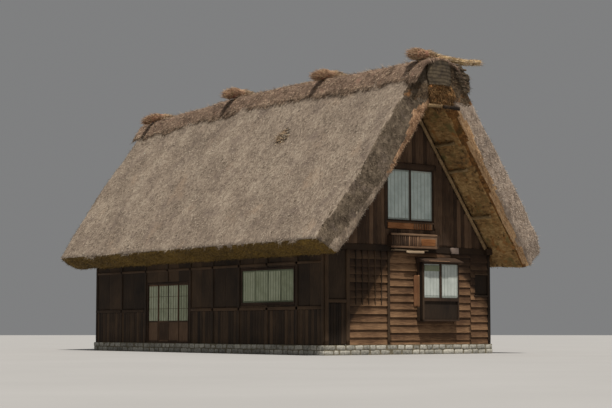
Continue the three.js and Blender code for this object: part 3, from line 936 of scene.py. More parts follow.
def straws(
    origin: np.ndarray, along: np.ndarray, length: np.ndarray, width: float, finish: Finish, seed: int,
    tone: Span = (0.0, 1.0),
) -> Piece:
    """Many straws in one mesh, each a long closed sliver.

    Args:
        origin: Where each straw starts.
        along: The direction of each straw, of length 1.
        length: The length of each straw.
        width: The width at the start of a straw.
        finish: The finish of the straws.
        seed: Which straws they are.
        tone: Lowest and highest tone.

    Returns:
        The new object.
    """
    chance = np.random.default_rng(seed)
    count = len(origin)
    across = unit(np.cross(along, chance.normal(size=(count, 3))))
    third = np.cross(along, across)
    turns = (0.0, 2.094, 4.189)
    rings = [origin + (across * math.cos(t) + third * math.sin(t)) * width / 2 for t in turns]
    points = np.stack([*rings, origin + along * length[:, None]], axis=1).reshape(-1, 3)
    pattern = np.array([[2, 1, 0], [0, 1, 3], [1, 2, 3], [2, 0, 3]])
    faces = (pattern[None] + 4 * np.arange(count)[:, None, None]).reshape(-1, 3)
    tint = chance.uniform(*tone, size=count).repeat(4)
    return from_rows("straws", points, faces, tint, finish)


def spots_on(piece: Piece, count: int, seed: int, keep: Callable) -> Pair:
    """Chooses places on the faces of a piece, evenly by area.

    Args:
        piece: The piece that carries the places.
        count: How many places there are.
        seed: Which places they are.
        keep: Takes face centres and normals and gives the share of each face.

    Returns:
        The places and the face normals there.
    """
    mesh = piece.data
    mesh.calc_loop_triangles()
    total = len(mesh.loop_triangles)
    numbers = np.empty(total * 3, dtype=np.int32)
    mesh.loop_triangles.foreach_get("vertices", numbers)
    corners = coordinates(piece)[numbers.reshape(-1, 3)]
    facing = np.cross(corners[:, 1] - corners[:, 0], corners[:, 2] - corners[:, 0])
    area = np.linalg.norm(facing, axis=1)
    facing = unit(facing)
    chance = np.random.default_rng(seed)
    weight = area * keep(corners.mean(axis=1), facing)
    chosen = chance.choice(total, size=count, p=weight / weight.sum())
    u, v = chance.random(count), chance.random(count)
    over = u + v > 1
    u, v = np.where(over, 1 - u, u), np.where(over, 1 - v, v)
    first, second, third = corners[chosen].transpose(1, 0, 2)
    places = first + (second - first) * u[:, None] + (third - first) * v[:, None]
    return places, facing[chosen]


def add_piece(piece: Piece, name: str, slot: str, *nodes: str) -> None:
    """Hands a finished piece over to the frame.

    Args:
        piece: The piece.
        name: Its name.
        slot: The record's material slot. It is not used.
        *nodes: The nodes that it stands for.
    """
    piece.name = piece.data.name = name
    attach(piece, "root")
    if nodes:
        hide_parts(*nodes)
    log.info("%s: %d faces", piece.name, len(piece.data.polygons))


def dress(finish: Finish, edge: float, *nodes: str) -> None:
    """Gives carried-over nodes a finish and eased edges.

    Args:
        finish: The finish.
        edge: Width of the eased edges.
        *nodes: The names of the nodes.
    """
    for name in nodes:
        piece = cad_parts[name]
        piece.data.materials.clear()
        piece.data.materials.append(finish.build())
        if edge:
            ease = piece.modifiers.new("eased", "BEVEL")
            ease.width, ease.segments, ease.limit_method = edge, 2, "ANGLE"
        log.info("%s: %s", name, finish.name)


def slope_point(down: float, inward: float) -> tuple[float, float]:
    """The x and z of a point this far down the right slope and square in from its underside."""
    x = down * math.cos(SLOPE) - inward * math.sin(SLOPE)
    return x, APEX - down * math.sin(SLOPE) - inward * math.cos(SLOPE)


# The raised middle of the ridge and its sunken back end, in metres
ARCH_RISE, ARCH_MIDDLE, ARCH_HALF = 0.08, -0.5, 4.5
SINK_DROP, SINK_FROM, SINK_LENGTH, SINK_POWER = 0.2, 2.6, 5.4, 1.3


def sag(y: np.ndarray) -> np.ndarray:
    """How far the old ridge stands above or below a straight line.

    Args:
        y: Places along the ridge.

    Returns:
        The height to add at each place.
    """
    arch = ARCH_RISE * np.clip(1 - ((y - ARCH_MIDDLE) / ARCH_HALF) ** 2, 0, 1)
    return arch - SINK_DROP * ramp(y, SINK_FROM, SINK_LENGTH) ** SINK_POWER


def sag_at(y: float) -> float:
    """The same for one place."""
    return float(sag(np.array(y)))


def pole(
    start: Point, end: Point, radius: float, seed: int, crook: float = 0.012, part: float = 0.4
) -> Piece:
    """A round pole that tapers and wanders a little.

    Args:
        start: Its thick end.
        end: Its thin end.
        radius: Its radius at the thick end.
        seed: Which pole it is.
        crook: How far it wanders from a straight line.
        part: Length of the pieces that the pole is cut into.

    Returns:
        The new object.
    """
    deselect()
    base, reach = Vector(start), Vector(end) - Vector(start)
    bpy.ops.mesh.primitive_cylinder_add(vertices=12, radius=radius, depth=reach.length)
    piece = bpy.context.object
    bpy.context.tool_settings.mesh_select_mode = (False, True, False)
    bpy.ops.object.mode_set(mode="EDIT")
    bpy.ops.mesh.select_all(action="DESELECT")
    bpy.ops.object.mode_set(mode="OBJECT")
    for edge in piece.data.edges:
        a, b = (piece.data.vertices[i].co for i in edge.vertices)
        edge.select = abs(a.z - b.z) > 0.01
    bpy.ops.object.mode_set(mode="EDIT")
    cuts = max(2, int(reach.length / part))
    bpy.ops.mesh.subdivide_edgering(number_cuts=cuts, interpolation="LINEAR")
    bpy.ops.object.mode_set(mode="OBJECT")
    bpy.context.tool_settings.mesh_select_mode = (True, False, False)
    points = coordinates(piece)
    taper, knot, knots_per_metre, bends_per_metre = 0.12, 0.05, 2.5, 0.6
    points[:, :2] *= (1.0 - taper * (points[:, 2] / reach.length + 0.5))[:, None]
    none = np.zeros(len(points))
    about = np.arctan2(points[:, 1], points[:, 0])
    knots = np.column_stack([points[:, 2] * knots_per_metre, about, none])
    points[:, :2] *= (1 + knot * noise(knots, seed))[:, None]
    line = np.column_stack([points[:, 2] * bends_per_metre, none, none])
    points[:, 0] += crook * noise(line, seed + 11)
    points[:, 1] += crook * noise(line, seed + 12)
    turn = np.array(reach.to_track_quat("Z", "Y").to_matrix())
    move_to(piece, points @ turn.T + np.array(base + reach / 2))
    return piece


def ring(centre: Point, axis: Point, radius: float, thick: float) -> Piece:
    """One turn of rope.

    Args:
        centre: The middle of the ring.
        axis: The direction of what it ties.
        radius: The radius of what it ties.
        thick: The radius of the rope.

    Returns:
        The new object.
    """
    deselect()
    turn = Vector(axis).to_track_quat("Z", "Y").to_euler()
    sizes = {"major_radius": radius, "minor_radius": thick, "major_segments": 14, "minor_segments": 5}
    bpy.ops.mesh.primitive_torus_add(location=centre, rotation=turn, **sizes)
    return settle(bpy.context.object)


def join(parts: list[Piece]) -> Piece:
    """Joins parts into one piece.

    Args:
        parts: The parts, of which the first one stays.

    Returns:
        The joined object.
    """
    only(parts[0])
    for part in parts:
        part.select_set(True)
    if len(parts) > 1:
        bpy.ops.object.join()
    return parts[0]


def wall_plane(where: Enum) -> np.ndarray:
    """The matrix from a drawing plane to a wall, where minus y points outwards.

    Args:
        where: A gable end or a long side.

    Returns:
        A 4 by 4 matrix.
    """
    sign = where.value
    if isinstance(where, End):
        matrix = np.diag([-sign, -sign, 1.0, 1.0])
        matrix[1, 3] = sign * HALF_LENGTH
        return matrix
    rows = [[0, -sign, 0, sign * HALF_WIDTH], [sign, 0, 0, 0], [0, 0, 1, 0], [0, 0, 0, 1.0]]
    return np.array(rows)


def boxes_on(to_wall: np.ndarray, boxes: list[tuple]) -> list[np.ndarray]:
    """The matrices of squared pieces on a wall, given by their limits across, outwards and up."""
    return [to_wall @ fitted((b[0], b[2], b[4]), (b[1], b[3], b[5])) for b in boxes]


def outward(side: Side) -> np.ndarray:
    """The direction square out of a slope."""
    return np.array([side.value * math.sin(SLOPE), 0, math.cos(SLOPE)])


def downward(side: Side) -> np.ndarray:
    """The direction straight down a slope."""
    return np.array([side.value * math.cos(SLOPE), 0, -math.sin(SLOPE)])



# Sub-assemblies


@dataclass
class StoneBase:
    """Stones in two courses round the foot of the walls."""

    step: float = 0.06
    height: float = 0.3
    depth: float = 0.16
    proud: float = 0.022
    half_width: float = 3.4
    half_length: float = 6.91
    courses: int = 2
    stone: Span = (0.2, 0.48)
    joint: float = 0.005
    bed: float = 0.006
    lump: float = 0.012
    lumps_per_metre: float = 7.0

    def build(self) -> None:
        """Lays the stones along all four sides and dresses what is between them."""
        model = block(edge=0.2, segments=2)
        places: list[np.ndarray] = []
        ends = [(end, self.half_width) for end in End]
        sides = [(side, self.half_length) for side in Side]
        for where, half in ends + sides:
            places += self.lay(wall_plane(where), half + self.proud, len(places))
        piece = copies("stones", model, places, STONE, 5)
        points = coordinates(piece)
        bumps = [noise(points * self.lumps_per_metre, 40 + axis) for axis in range(3)]
        points += self.lump * np.column_stack(bumps)
        points[:, 2] = np.clip(points[:, 2], 0.0, self.height - 0.002)
        move_to(piece, points)
        add_piece(shade(piece, STONE), "base_stones", "stone")
        dress(EARTH, 0.0, "stone_base")

    def lay(self, to_wall: np.ndarray, half: float, seed: int) -> list[np.ndarray]:
        """The place and size of each stone along one side.

        Args:
            to_wall: The matrix of the wall.
            half: Half the length of the side.
            seed: Which stones they are.

        Returns:
            One matrix for each stone.
        """
        chance = np.random.default_rng(seed)
        tall = self.height / self.courses
        found = []
        for course in range(self.courses):
            at = -half
            while at < half - 0.08:
                wide = min(chance.uniform(*self.stone), half - at)
                front = -self.step - chance.uniform(0.3, 1) * self.proud
                low = (at + self.joint, front, course * tall)
                high = (at + wide - self.joint, self.depth - self.step, (course + 1) * tall - self.bed)
                found.append(to_wall @ fitted(low, high))
                at += wide
        return found


@dataclass
class Boarding:
    """The boards on the outside of the walls. A rectangle is its limits across and up."""

    lap: float = 0.2375
    out: float = 0.05
    lapped_under: float = 0.02
    stagger: float = 0.4
    slip: float = 0.003
    warp: float = 0.006
    set_in: float = 0.004
    gable_board: float = 0.155
    gable_half: float = 2.9
    bay: Rect = (0.25, 1.77, 1.02, 3.03)
    hood: Rect = (0.19, 1.83, 2.8, 3.03)
    hatch: Rect = (2.7, 3.34, 1.84, 2.52)
    hatch_board: Rect = (2.7, 3.34, 1.86, 2.5)
    rear_window: Rect = (-0.76, 0.76, 1.66, 2.84)
    front_upper: Rect = (-1.02, 1.02, 3.84, 5.9)
    back_upper: Rect = (-1.02, 1.02, 4.03, 5.8)
    side_window: Rect = (-5.42, -2.49, 1.51, 2.70)
    entrance: Rect = (0.52, 3.28, 0.0, 2.39)
    lapped_spans: tuple[Span, ...] = ((-2.46, -0.95), (-0.87, 2.5), (2.505, 3.34))
    corner_boards: Rect = (-3.34, -2.54, BOARD_FOOT, 1.56)
    corner_panel: Rect = (-3.34, -2.54, 1.66, WALL_TOP)
    front_posts: tuple[Span, ...] = ((-3.35, -3.24), (-2.56, -2.44), (-0.95, -0.87), (3.24, 3.35))
    lattice_at: tuple[float, ...] = (-2.2, -1.95, -1.7, -1.45, -1.2)
    lattice_half: float = 0.014
    lattice_foot: float = 1.5
    front_rails: tuple[Rect, ...] = (
        (-3.24, -2.56, 1.56, 1.66),
        (2.66, 3.24, 1.8, 1.86),
        (2.66, 3.24, 2.5, 2.56),
    )
    back_battens: tuple[float, ...] = (-3.3, -1.6, 1.6, 3.3)
    back_half: float = 0.05
    side_posts: tuple[float, ...] = (-6.79, -5.5, -3.95, -2.41, -0.9, 0.46, 1.9, 3.34, 5.0, 6.79)
    side_half: float = 0.055
    side_rail: Rect = (-6.85, 6.85, 1.36, 1.46)
    side_top_rail: Rect = (-6.85, 6.85, 2.74, 2.82)

    def lapped_model(self) -> Piece:
        """One lapped board of unit size, that leans out at its foot.

        Returns:
            The new object.
        """
        board = block(edge=0.03)
        points = coordinates(board)
        depth = points[:, 1] + 0.5
        points[:, 1] = np.where(points[:, 2] < 0, -0.5 + depth * 0.4, 0.26 + depth * 0.24)
        move_to(board, points)
        return board

    def lapped(
        self, name: str, spans: tuple, holes: list[Rect], to_wall: np.ndarray, finish: Finish, seed: int
    ) -> None:
        """Covers a wall with lapped boards from the base to its top.

        Args:
            name: Name of the piece.
            spans: Limits between which boards run.
            holes: What the boards leave out.
            to_wall: The matrix of the wall.
            finish: The finish of the boards.
            seed: Which tones the boards get.
        """
        chance = np.random.default_rng(seed)
        rows = max(1, round((WALL_TOP - BOARD_FOOT) / self.lap))
        step = (WALL_TOP - BOARD_FOOT) / rows
        places = []
        for column, (a0, a1) in enumerate(spans):
            for row in range(rows + 1):
                foot = BOARD_FOOT + (row - self.stagger * (column % 2)) * step
                whole = (a0, a1, max(foot, BOARD_FOOT), min(foot + step, WALL_TOP))
                for b0, b1, c0, c1 in clear_of(whole, holes):
                    slip = chance.normal(0, self.slip)
                    front = -self.out + chance.uniform(-self.warp, self.warp)
                    low = (b0 + 0.001, front, max(c0 - self.lapped_under + slip, BOARD_FOOT))
                    if c1 - low[2] > 2 * self.lapped_under:
                        places.append(to_wall @ fitted(low, (b1 - 0.001, self.set_in, c1 + slip)))
        # Each board is darker towards its head: painted shade under the board lapped over it.
        piece = copies(name, self.lapped_model(), places, finish, seed + 1, fade=0.6)
        add_piece(piece, name, "weathered_timber")

    def flat(
        self, name: str, rects: list[Rect], wide: float, out: float, to_wall: np.ndarray, finish: Finish,
        seed: int, gap: float = 0.003,
    ) -> None:
        """Covers rectangles of a wall with upright boards.

        Args:
            name: Name of the piece.
            rects: What is covered.
            wide: Width of a board.
            out: How far the boards stand out.
            to_wall: The matrix of the wall.
            finish: The finish of the boards.
            seed: Which tones the boards get.
            gap: Half the gap between two boards.
        """
        chance = np.random.default_rng(seed)
        places = []
        for a0, a1, b0, b1 in rects:
            count = max(1, round((a1 - a0) / wide))
            step = (a1 - a0) / count
            for i in range(count):
                low = (a0 + i * step + gap, -out * chance.uniform(0.82, 1.0), b0)
                high = (a0 + (i + 1) * step - gap, self.set_in, b1)
                places.append(to_wall @ fitted(low, high))
        piece = copies(name, block(edge=0.035), places, finish, seed + 1)
        add_piece(piece, name, "weathered_timber")

    def gable_boards(self, name: str, hole: Rect, end: End, seed: int) -> None:
        """Upright boards of the attic wall, cut to the slope.

        Args:
            name: Name of the piece.
            hole: What the boards leave out.
            end: Which gable it is.
            seed: Which boards they are.
        """
        rects = []
        count = round(2 * self.gable_half / self.gable_board)
        for i in range(count):
            a0 = -self.gable_half + i * 2 * self.gable_half / count
            a1 = a0 + 2 * self.gable_half / count
            top = APEX - FALL * max(abs(a0), abs(a1)) - 0.2
            if top >= PLATE_TOP + 0.1:
                rects += clear_of((a0, a1, PLATE_TOP + 0.002, top), [hole])
        self.flat(name, rects, 1.0, 0.028, wall_plane(end), UPRIGHT_BOARD, seed)

    def battens(
        self, name: str, lines: list[Rect], out: float, to_wall: np.ndarray, finish: Finish, seed: int
    ) -> None:
        """Posts, rails and battens, which stand out over the boards by a distance."""
        places = [to_wall @ fitted((a0, -out, b0), (a1, 0.003, b1)) for a0, a1, b0, b1 in lines]
        add_piece(copies(name, block(edge=0.06), places, finish, seed), name, "timber")

    def build(self) -> None:
        """Boards the four walls and the two gables, and dresses the frame."""
        self.front_wall(wall_plane(End.FRONT))
        self.gable_boards("front_gable_boards", self.front_upper, End.FRONT, 30)
        back = wall_plane(End.BACK)
        whole = ((-HALF_WIDTH, HALF_WIDTH),)
        self.lapped("back_lapped_boards", whole, [self.rear_window], back, WALL_BOARD, 32)
        lines = [(a - self.back_half, a + self.back_half, BOARD_FOOT, WALL_TOP) for a in self.back_battens]
        self.battens("back_wall_battens", lines, 0.056, back, UPRIGHT_BOARD, 34)
        self.gable_boards("back_gable_boards", self.back_upper, End.BACK, 36)
        for side in Side:
            self.long_wall(side, side.name.lower())
        ends = ("front", "back")
        dress(UPRIGHT_BOARD, 0.0, *(f"{end}_{part}" for part in ("wall", "gable_wall") for end in ends))
        dress(UPRIGHT_BOARD, 0.0, "left_wall", "right_wall")
        dress(SIDE_BOARD, 0.01, "left_plate", "right_plate", "front_belt", "back_belt")
        dress(SIDE_BOARD, 0.01, "tie_beam_1", "tie_beam_2")
        dress(UPRIGHT_BOARD, 0.01, *(f"{end}_{side}_post" for end in ends for side in ("left", "right")))
        dress(SIDE_BOARD, 0.0, "ground_floor", "attic_floor")

    def front_wall(self, front: np.ndarray) -> None:
        """Boards the lower front: lapped boards, a corner of upright boards, and a lattice.

        Args:
            front: The matrix of the wall.
        """
        holes = [self.bay, self.hood, self.hatch]
        self.lapped("front_lapped_boards", self.lapped_spans, holes, front, FRONT_BOARD, 20)
        # The corner boards and panels are near black: painted deep shade.
        self.flat("front_corner_boards", [self.corner_boards], 0.1, 0.03, front, NEAR_BLACK_AND_PAINTED_SHADE_BOARD, 24, gap=0.006)
        panels = [self.corner_panel, self.hatch_board]
        self.flat("front_corner_panel", panels, 0.8, 0.018, front, NEAR_BLACK_AND_PAINTED_SHADE_BOARD, 26)
        posts = [(a0, a1, BOARD_FOOT, WALL_TOP) for a0, a1 in self.front_posts]
        half = self.lattice_half
        lattice = [(a - half, a + half, self.lattice_foot, WALL_TOP) for a in self.lattice_at]
        lines = [*posts, *lattice, *self.front_rails]
        self.battens("front_wall_battens", lines, 0.062, front, SHADED_BOARD, 28)

    def long_wall(self, where: Side, name: str) -> None:
        """Boards one long wall: upright boards below a rail and panels above it.

        Args:
            where: Which side it is.
            name: What its pieces are called.
        """
        plane = wall_plane(where)
        turn = where.value
        holes = [self.turned(self.side_window, where)]
        if where is Side.LEFT:
            holes.append(self.turned(self.entrance, where))
        _, _, rail_foot, rail_top = self.side_rail
        low, high = [], []
        for p, q in zip(self.side_posts, self.side_posts[1:]):
            low += clear_of(self.turned((p, q, BOARD_FOOT, rail_foot), where), holes)
            high += clear_of(self.turned((p, q, rail_top, WALL_TOP), where), holes)
        self.flat(f"{name}_wall_low_boards", low, 0.15, 0.028, plane, SHADED_BOARD, 50 + turn, gap=0.004)
        self.flat(f"{name}_wall_panels", high, 0.72, 0.016, plane, SHADED_BOARD, 54 + turn)
        half = self.side_half
        posts = [(p - half, p + half, BOARD_FOOT, WALL_TOP) for p in self.side_posts]
        lines = []
        for rect in (*posts, self.side_rail, self.side_top_rail):
            lines += clear_of(self.turned(rect, where), holes)
        self.battens(f"{name}_wall_battens", lines, 0.045, plane, SHADED_BOARD, 58 + turn)

    @staticmethod
    def turned(rect: Rect, where: Side) -> Rect:
        """A rectangle, given as seen on the right wall, in a long wall's own direction."""
        a0, a1, b0, b1 = rect
        return (a0, a1, b0, b1) if where is Side.RIGHT else (-a1, -a0, b0, b1)


@dataclass(frozen=True)
class Window:
    """One window or door and how its sliding leaves are divided.

    Lights are its openings in the plane of the wall, leaves how many fill a light,
    bars how many thin bars stand and lie in a leaf, skirt the height of a leaf's
    boarded foot, and face how far the leaves stand outside the wall.
    """

    name: str
    where: Enum
    lights: tuple[Rect, ...]
    nodes: tuple[str, ...]
    leaves: int = 1
    bars: tuple[int, int] = (4, 0)
    skirt: float = 0.0
    face: float = 0.005
    wood: Finish = UPRIGHT_BOARD
    paper: Finish = PAPER


@dataclass
class Leaves:
    """Sliding window leaves: stiles, rails and thin bars over paper.

    Fields that end in at are how deep a layer starts and ends behind the leaf's face.
    """

    stile: float = 0.035
    rail: float = 0.045
    bar: float = 0.012
    thick: float = 0.022
    track: float = 0.012
    play: float = 0.002
    lip: float = 0.01
    rail_at: Span = (0.001, 0.021)
    board_at: Span = (0.008, 0.018)
    standing_at: Span = (0.005, 0.016)
    lying_at: Span = (0.006, 0.016)
    paper_at: Span = (0.012, 0.016)

    def build(self, window: Window) -> None:
        """Fills a window's lights with leaves.

        Args:
            window: The window.
        """
        wood, boards, paper = [], [], []
        for a0, a1, b0, b1 in window.lights:
            wide = (a1 - a0) / window.leaves
            for leaf in range(window.leaves):
                across = (a0 + leaf * wide + self.play, a0 + (leaf + 1) * wide - self.play)
                face = -window.face + self.track * (leaf % 2)
                self.leaf(window, across, face, (b0 + self.play, b1 - self.play), wood, boards, paper)
        to_wall = wall_plane(window.where)
        for kind, boxes, finish, slot, nodes in (
            ("leaves", wood + boards, window.wood, "timber", ()),
            ("paper", paper, window.paper, "window_panel", window.nodes),
        ):
            piece = copies(kind, block(edge=0.05), boxes_on(to_wall, boxes), finish, len(boxes))
            add_piece(piece, f"{window.name}_{kind}", slot, *nodes)

    def leaf(
        self, window: Window, across: Span, face: float, up: Span, wood: list[tuple], boards: list[tuple],
        paper: list[tuple],
    ) -> None:
        """Adds the boxes of one leaf to the lists.

        Args:
            window: The window.
            across: Where the leaf starts and ends across.
            face: The place of its outer face.
            up: Its foot and its top.
            wood: Gets the stiles, rails and bars.
            boards: Gets the boarded foot.
            paper: Gets the paper.
        """
        (c0, c1), (low, top) = across, up
        inner = low + (window.skirt or self.rail)

        def layer(depths: Span) -> Span:
            """The limits of a layer outwards."""
            return face + depths[0], face + depths[1]

        whole, rails = (face, face + self.thick), layer(self.rail_at)
        wood += [(c0, c0 + self.stile, *whole, low, top), (c1 - self.stile, c1, *whole, low, top)]
        wood += [(c0, c1, *rails, low, low + self.rail), (c0, c1, *rails, top - self.rail, top)]
        lip = self.lip
        if window.skirt:
            wood.append((c0, c1, *rails, inner - self.rail, inner))
            boards.append((c0 + lip, c1 - lip, *layer(self.board_at), low, inner))
        standing, lying = window.bars
        half = self.bar / 2
        for i in range(standing):
            at = c0 + (c1 - c0) * (i + 1) / (standing + 1)
            wood.append((at - half, at + half, *layer(self.standing_at), inner, top))
        for i in range(lying):
            at = inner + (top - inner) * (i + 1) / (lying + 1)
            wood.append((c0, c1, *layer(self.lying_at), at - half, at + half))
        paper.append((c0 + lip, c1 - lip, *layer(self.paper_at), inner - lip, top - lip))


@dataclass
class Windows:
    """Every window of the house and the entrance doors."""

    windows: tuple[Window, ...] = (
        Window(
            "front_upper", End.FRONT, ((-0.91, -0.025, 4.14, 5.69), (0.025, 0.91, 4.14, 5.69)),
            ("front_upper_left_panel", "front_upper_right_panel"), bars=(5, 0), wood=LEAF_WOOD,
        ),
        Window(
            "back_upper", End.BACK, ((-0.91, 0.91, 4.14, 5.69),), ("back_upper_panels",), 2, (5, 2), 0.3
        ),
        Window(
            "bay", End.FRONT, ((0.3, 0.985, 1.74, 2.79), (1.035, 1.72, 1.74, 2.79)),
            ("bay_left_panel", "bay_right_panel"), face=0.285, wood=LEAF_WOOD, paper=SUNNY_PAPER,
        ),
        Window(
            "back_lower", End.BACK, ((-0.71, 0.71, 1.71, 2.79),), ("back_lower_panels",), 2, (4, 2),
            paper=SUNNY_PAPER,
        ),
        # The long sides' leaves get the darker bars and paper, painted as the eaves' shade.
        Window(
            "left", Side.LEFT, ((2.58, 5.33, 1.6, 2.61),), ("left_window_panels",), 4, face=0.0,
            wood=SHADED_WOOD, paper=SHADED_PAPER,
        ),
        Window(
            "right", Side.RIGHT, ((-5.33, -2.58, 1.6, 2.61),), ("right_window_panels",), 4, face=0.0,
            wood=SHADED_WOOD, paper=SHADED_PAPER,
        ),
        Window(
            "entrance", Side.LEFT, ((-3.19, -0.61, 0.35, 2.3),), ("entrance_panels",), 4, (3, 2), 0.7,
            face=0.0, paper=SHADED_PAPER,
        ),
    )
    frames: tuple[str, ...] = ("front_upper", "back_upper", "back_lower", "left", "right")

    def build(self) -> None:
        """Fills the openings and dresses their frames."""
        leaves = Leaves()
        for window in self.windows:
            leaves.build(window)
        dress(UPRIGHT_BOARD, 0.004, *(f"{name}_window_frame" for name in self.frames), "entrance_frame")


@dataclass(frozen=True)
class Trim:
    """Squared pieces of the front that share a name and a finish.

    A box is its limits across, outwards from the wall, where minus is out, and up.
    """

    name: str
    finish: Finish
    seed: int
    boxes: tuple[tuple[float, ...], ...]
    slot: str = "timber"


# Strips nailed over the boards under the upper window
APRON_SLATS = tuple((a, a + 0.045, -0.05, -0.03, 3.87, 4.04) for a in np.arange(0.14, 0.86, 0.1))


@dataclass
class FrontJoinery:
    """The bay, its hood, the slatted box, the ledge and the boards under the upper window."""

    slat_pitch: float = 0.085
    slat: float = 0.05
    slats_up: Span = (3.3, 3.65)
    slats_out: float = 0.285
    # The left slats lie in the gable's shadow and get the dark board finish, as painted shade; the others get
    # the light slat finish.
    painted_shade_slats: Span = (-0.96, -0.33)
    light_slats: Span = (-0.28, 0.2)
    trims: tuple[Trim, ...] = (
        Trim("slat_box_board", NEW_BOARD, 73, ((0.22, 0.8, -0.292, -0.262, 3.34, 3.55),), "fresh_board"),
        Trim("slat_box_rails", WALL_BOARD, 74, (
            (-1.0, 0.87, -0.3, -0.262, 3.64, 3.7),
            (-1.0, 0.87, -0.3, -0.262, 3.25, 3.31),
            (0.2, 0.87, -0.285, -0.262, 3.3, 3.65),
        )),
        Trim("front_upper_trim", UPRIGHT_BOARD, 75, (
            (-1.06, 1.06, -0.06, 0.0, 5.742, 5.9),
            (-1.05, -0.965, -0.05, 0.0, 3.9, 5.74),
            (0.965, 1.05, -0.05, 0.0, 3.9, 5.74),
            (-1.0, 1.0, -0.06, 0.0, 4.04, 4.09),
        )),
        Trim("apron_slats", SLAT_BOARD, 76, APRON_SLATS),
        Trim("beam_end", BEAM_END, 77, ((1.63, 1.94, -0.12, -0.04, 3.14, 3.33),)),
        Trim("bay_side_board", NEW_UPRIGHT, 78, (
            (0.09, 0.238, -0.075, -0.05, 1.46, 2.44),
            (0.235, 0.262, -0.16, 0.0, 1.46, 2.44),
        ), "fresh_board"),
        Trim("bay_side_strip", NEAR_BLACK_AND_PAINTED_SHADE_BOARD, 79, (
            (0.235, 0.3, -0.322, -0.29, 1.0, 2.84),
            (0.236, 0.26, -0.299, -0.165, 1.02, 2.84),
            (0.236, 0.26, -0.163, 0.0, 1.02, 1.455),
        )),
        Trim("bay_hood_edge", SLAT_BOARD, 80, ((0.38, 1.24, -0.47, -0.45, 2.86, 2.88),)),
        # A dark strip at the head of the bay's panes: the hood's shadow, painted.
        Trim("bay_pane_hood_shadow", SHADED_WOOD, 81, ((0.335, 0.95, -0.296, -0.28, 2.57, 2.745),)),
        Trim("bay_middle_bar", NEAR_BLACK_AND_PAINTED_SHADE_BOARD, 82, ((0.945, 1.04, -0.3, -0.284, 1.745, 2.785),)),
        Trim("ledge_cap", PALE_BOARD, 83, ((-0.4, 0.3, -0.33, -0.28, 3.1, 3.172),)),
    )

    def build(self) -> None:
        """Adds the boards and slats and dresses the frames."""
        front = wall_plane(End.FRONT)
        boards = Boarding()
        for name, span, finish, seed in (
            ("slat_box_slats", self.painted_shade_slats, UPRIGHT_BOARD, 71),
            ("slat_box_light_slats", self.light_slats, SLAT_BOARD, 72),
        ):
            lines = [(a, a + self.slat, *self.slats_up) for a in np.arange(*span, self.slat_pitch)]
            boards.battens(name, lines, self.slats_out, front, finish, seed)
        for trim in self.trims:
            places = boxes_on(front, trim.boxes)
            piece = copies(trim.name, block(edge=0.05), places, trim.finish, trim.seed)
            add_piece(piece, trim.name, trim.slot)
        dress(UPRIGHT_BOARD, 0.004, "front_slat_box", "bay_frame", "bay_hood")
        # The panel under the bay is dark: painted shadow of the bay.
        dress(SHADED_BOARD, 0.004, "bay_lower_panel")
        dress(PALE_BOARD, 0.006, "front_ledge")
        dress(APRON_BOARD, 0.004, "front_apron")


@dataclass
class RoofTimbers:
    """The ridge pole, the purlins and the rafters, round as they grew.

    The in fields are how far the middle of a pole lies inside the thatch.
    """

    purlin_at: tuple[float, ...] = (1.9, 2.87, 4.6)
    purlin_in: float = 0.073
    purlin: float = 0.054
    end: float = 7.75
    ridge_in: float = 0.0803
    ridge: float = 0.084
    rafter_in: float = 0.172
    rafter: float = 0.056
    rafter_foot: float = 5.86
    rafter_head: float = 0.15
    frames: tuple[tuple[str, float], ...] = (
        ("front_rafters", -6.915),
        ("inner_rafters_1", -2.28),
        ("inner_rafters_2", 2.28),
        ("back_rafters", 6.915),
    )

    def build(self) -> None:
        """Replaces the plain solids with crooked round poles."""
        for side in Side:
            turn, name = side.value, side.name.lower()
            for number, down in enumerate(self.purlin_at, 1):
                x, z = slope_point(down, self.purlin_in)
                start, end = (turn * x, -self.end, z), (turn * x, self.end, z)
                piece = shade(pole(start, end, self.purlin, 100 + number + turn * 5), PURLIN_POLE)
                add_piece(piece, f"{name}_purlin_pole_{number}", "timber", f"{name}_purlin_{number}")
        z = APEX - self.ridge_in / math.cos(SLOPE)
        piece = pole((0, -self.end, z), (0, self.end, z), self.ridge, 120)
        add_piece(shade(piece, PALE_POLE), "ridge_log", "timber", "ridge_pole")
        low, high = (slope_point(down, self.rafter_in) for down in (self.rafter_foot, self.rafter_head))
        for number, (name, y) in enumerate(self.frames):
            pair = []
            for turn in (-1, 1):
                start, end = (turn * low[0], y, low[1]), (turn * high[0], y, high[1])
                pair.append(pole(start, end, self.rafter, 130 + number * 2 + turn))
            add_piece(shade(join(pair), PALE_POLE), f"{name}_poles", "timber", name)


class Zone(IntEnum):
    """The parts of a slope that have a finish of their own, by their number on its faces."""

    SLOPE = 0
    VERGE = 1
    UNDER = 2
    EAVE = 3
    LINING = 4
    EDGE = 5
    TOP = 6
    TORN = 7
    GREY = 8


@dataclass(frozen=True)
class Verge:
    """How the gable ends of one slope are cut and finished, in metres.

    Inner and outer are how far those edges of the cut face stand back, bevel is
    how far the inner edge is cut away, foot is how far the face stands back at
    the eave, corner how far its lowest corner is rounded, hang how far the eave
    sinks there, and rough how broken the face is. The light lining starts and
    ends this far out from the underside at these heights.
    """

    inner: float
    outer: float
    bevel: float
    foot: float
    corner: float
    hang: float
    rough: float
    finish: Finish
    lining: Finish
    straw: Finish
    lining_straw: Finish
    heights: tuple[float, ...]
    starts: tuple[float, ...]
    ends: tuple[float, ...]

    def lined(self, height: np.ndarray) -> Pair:
        """Where the light lining starts and ends, out from the underside, at each height."""
        start = np.interp(height, self.heights, self.starts)
        return start, np.interp(height, self.heights, self.ends)


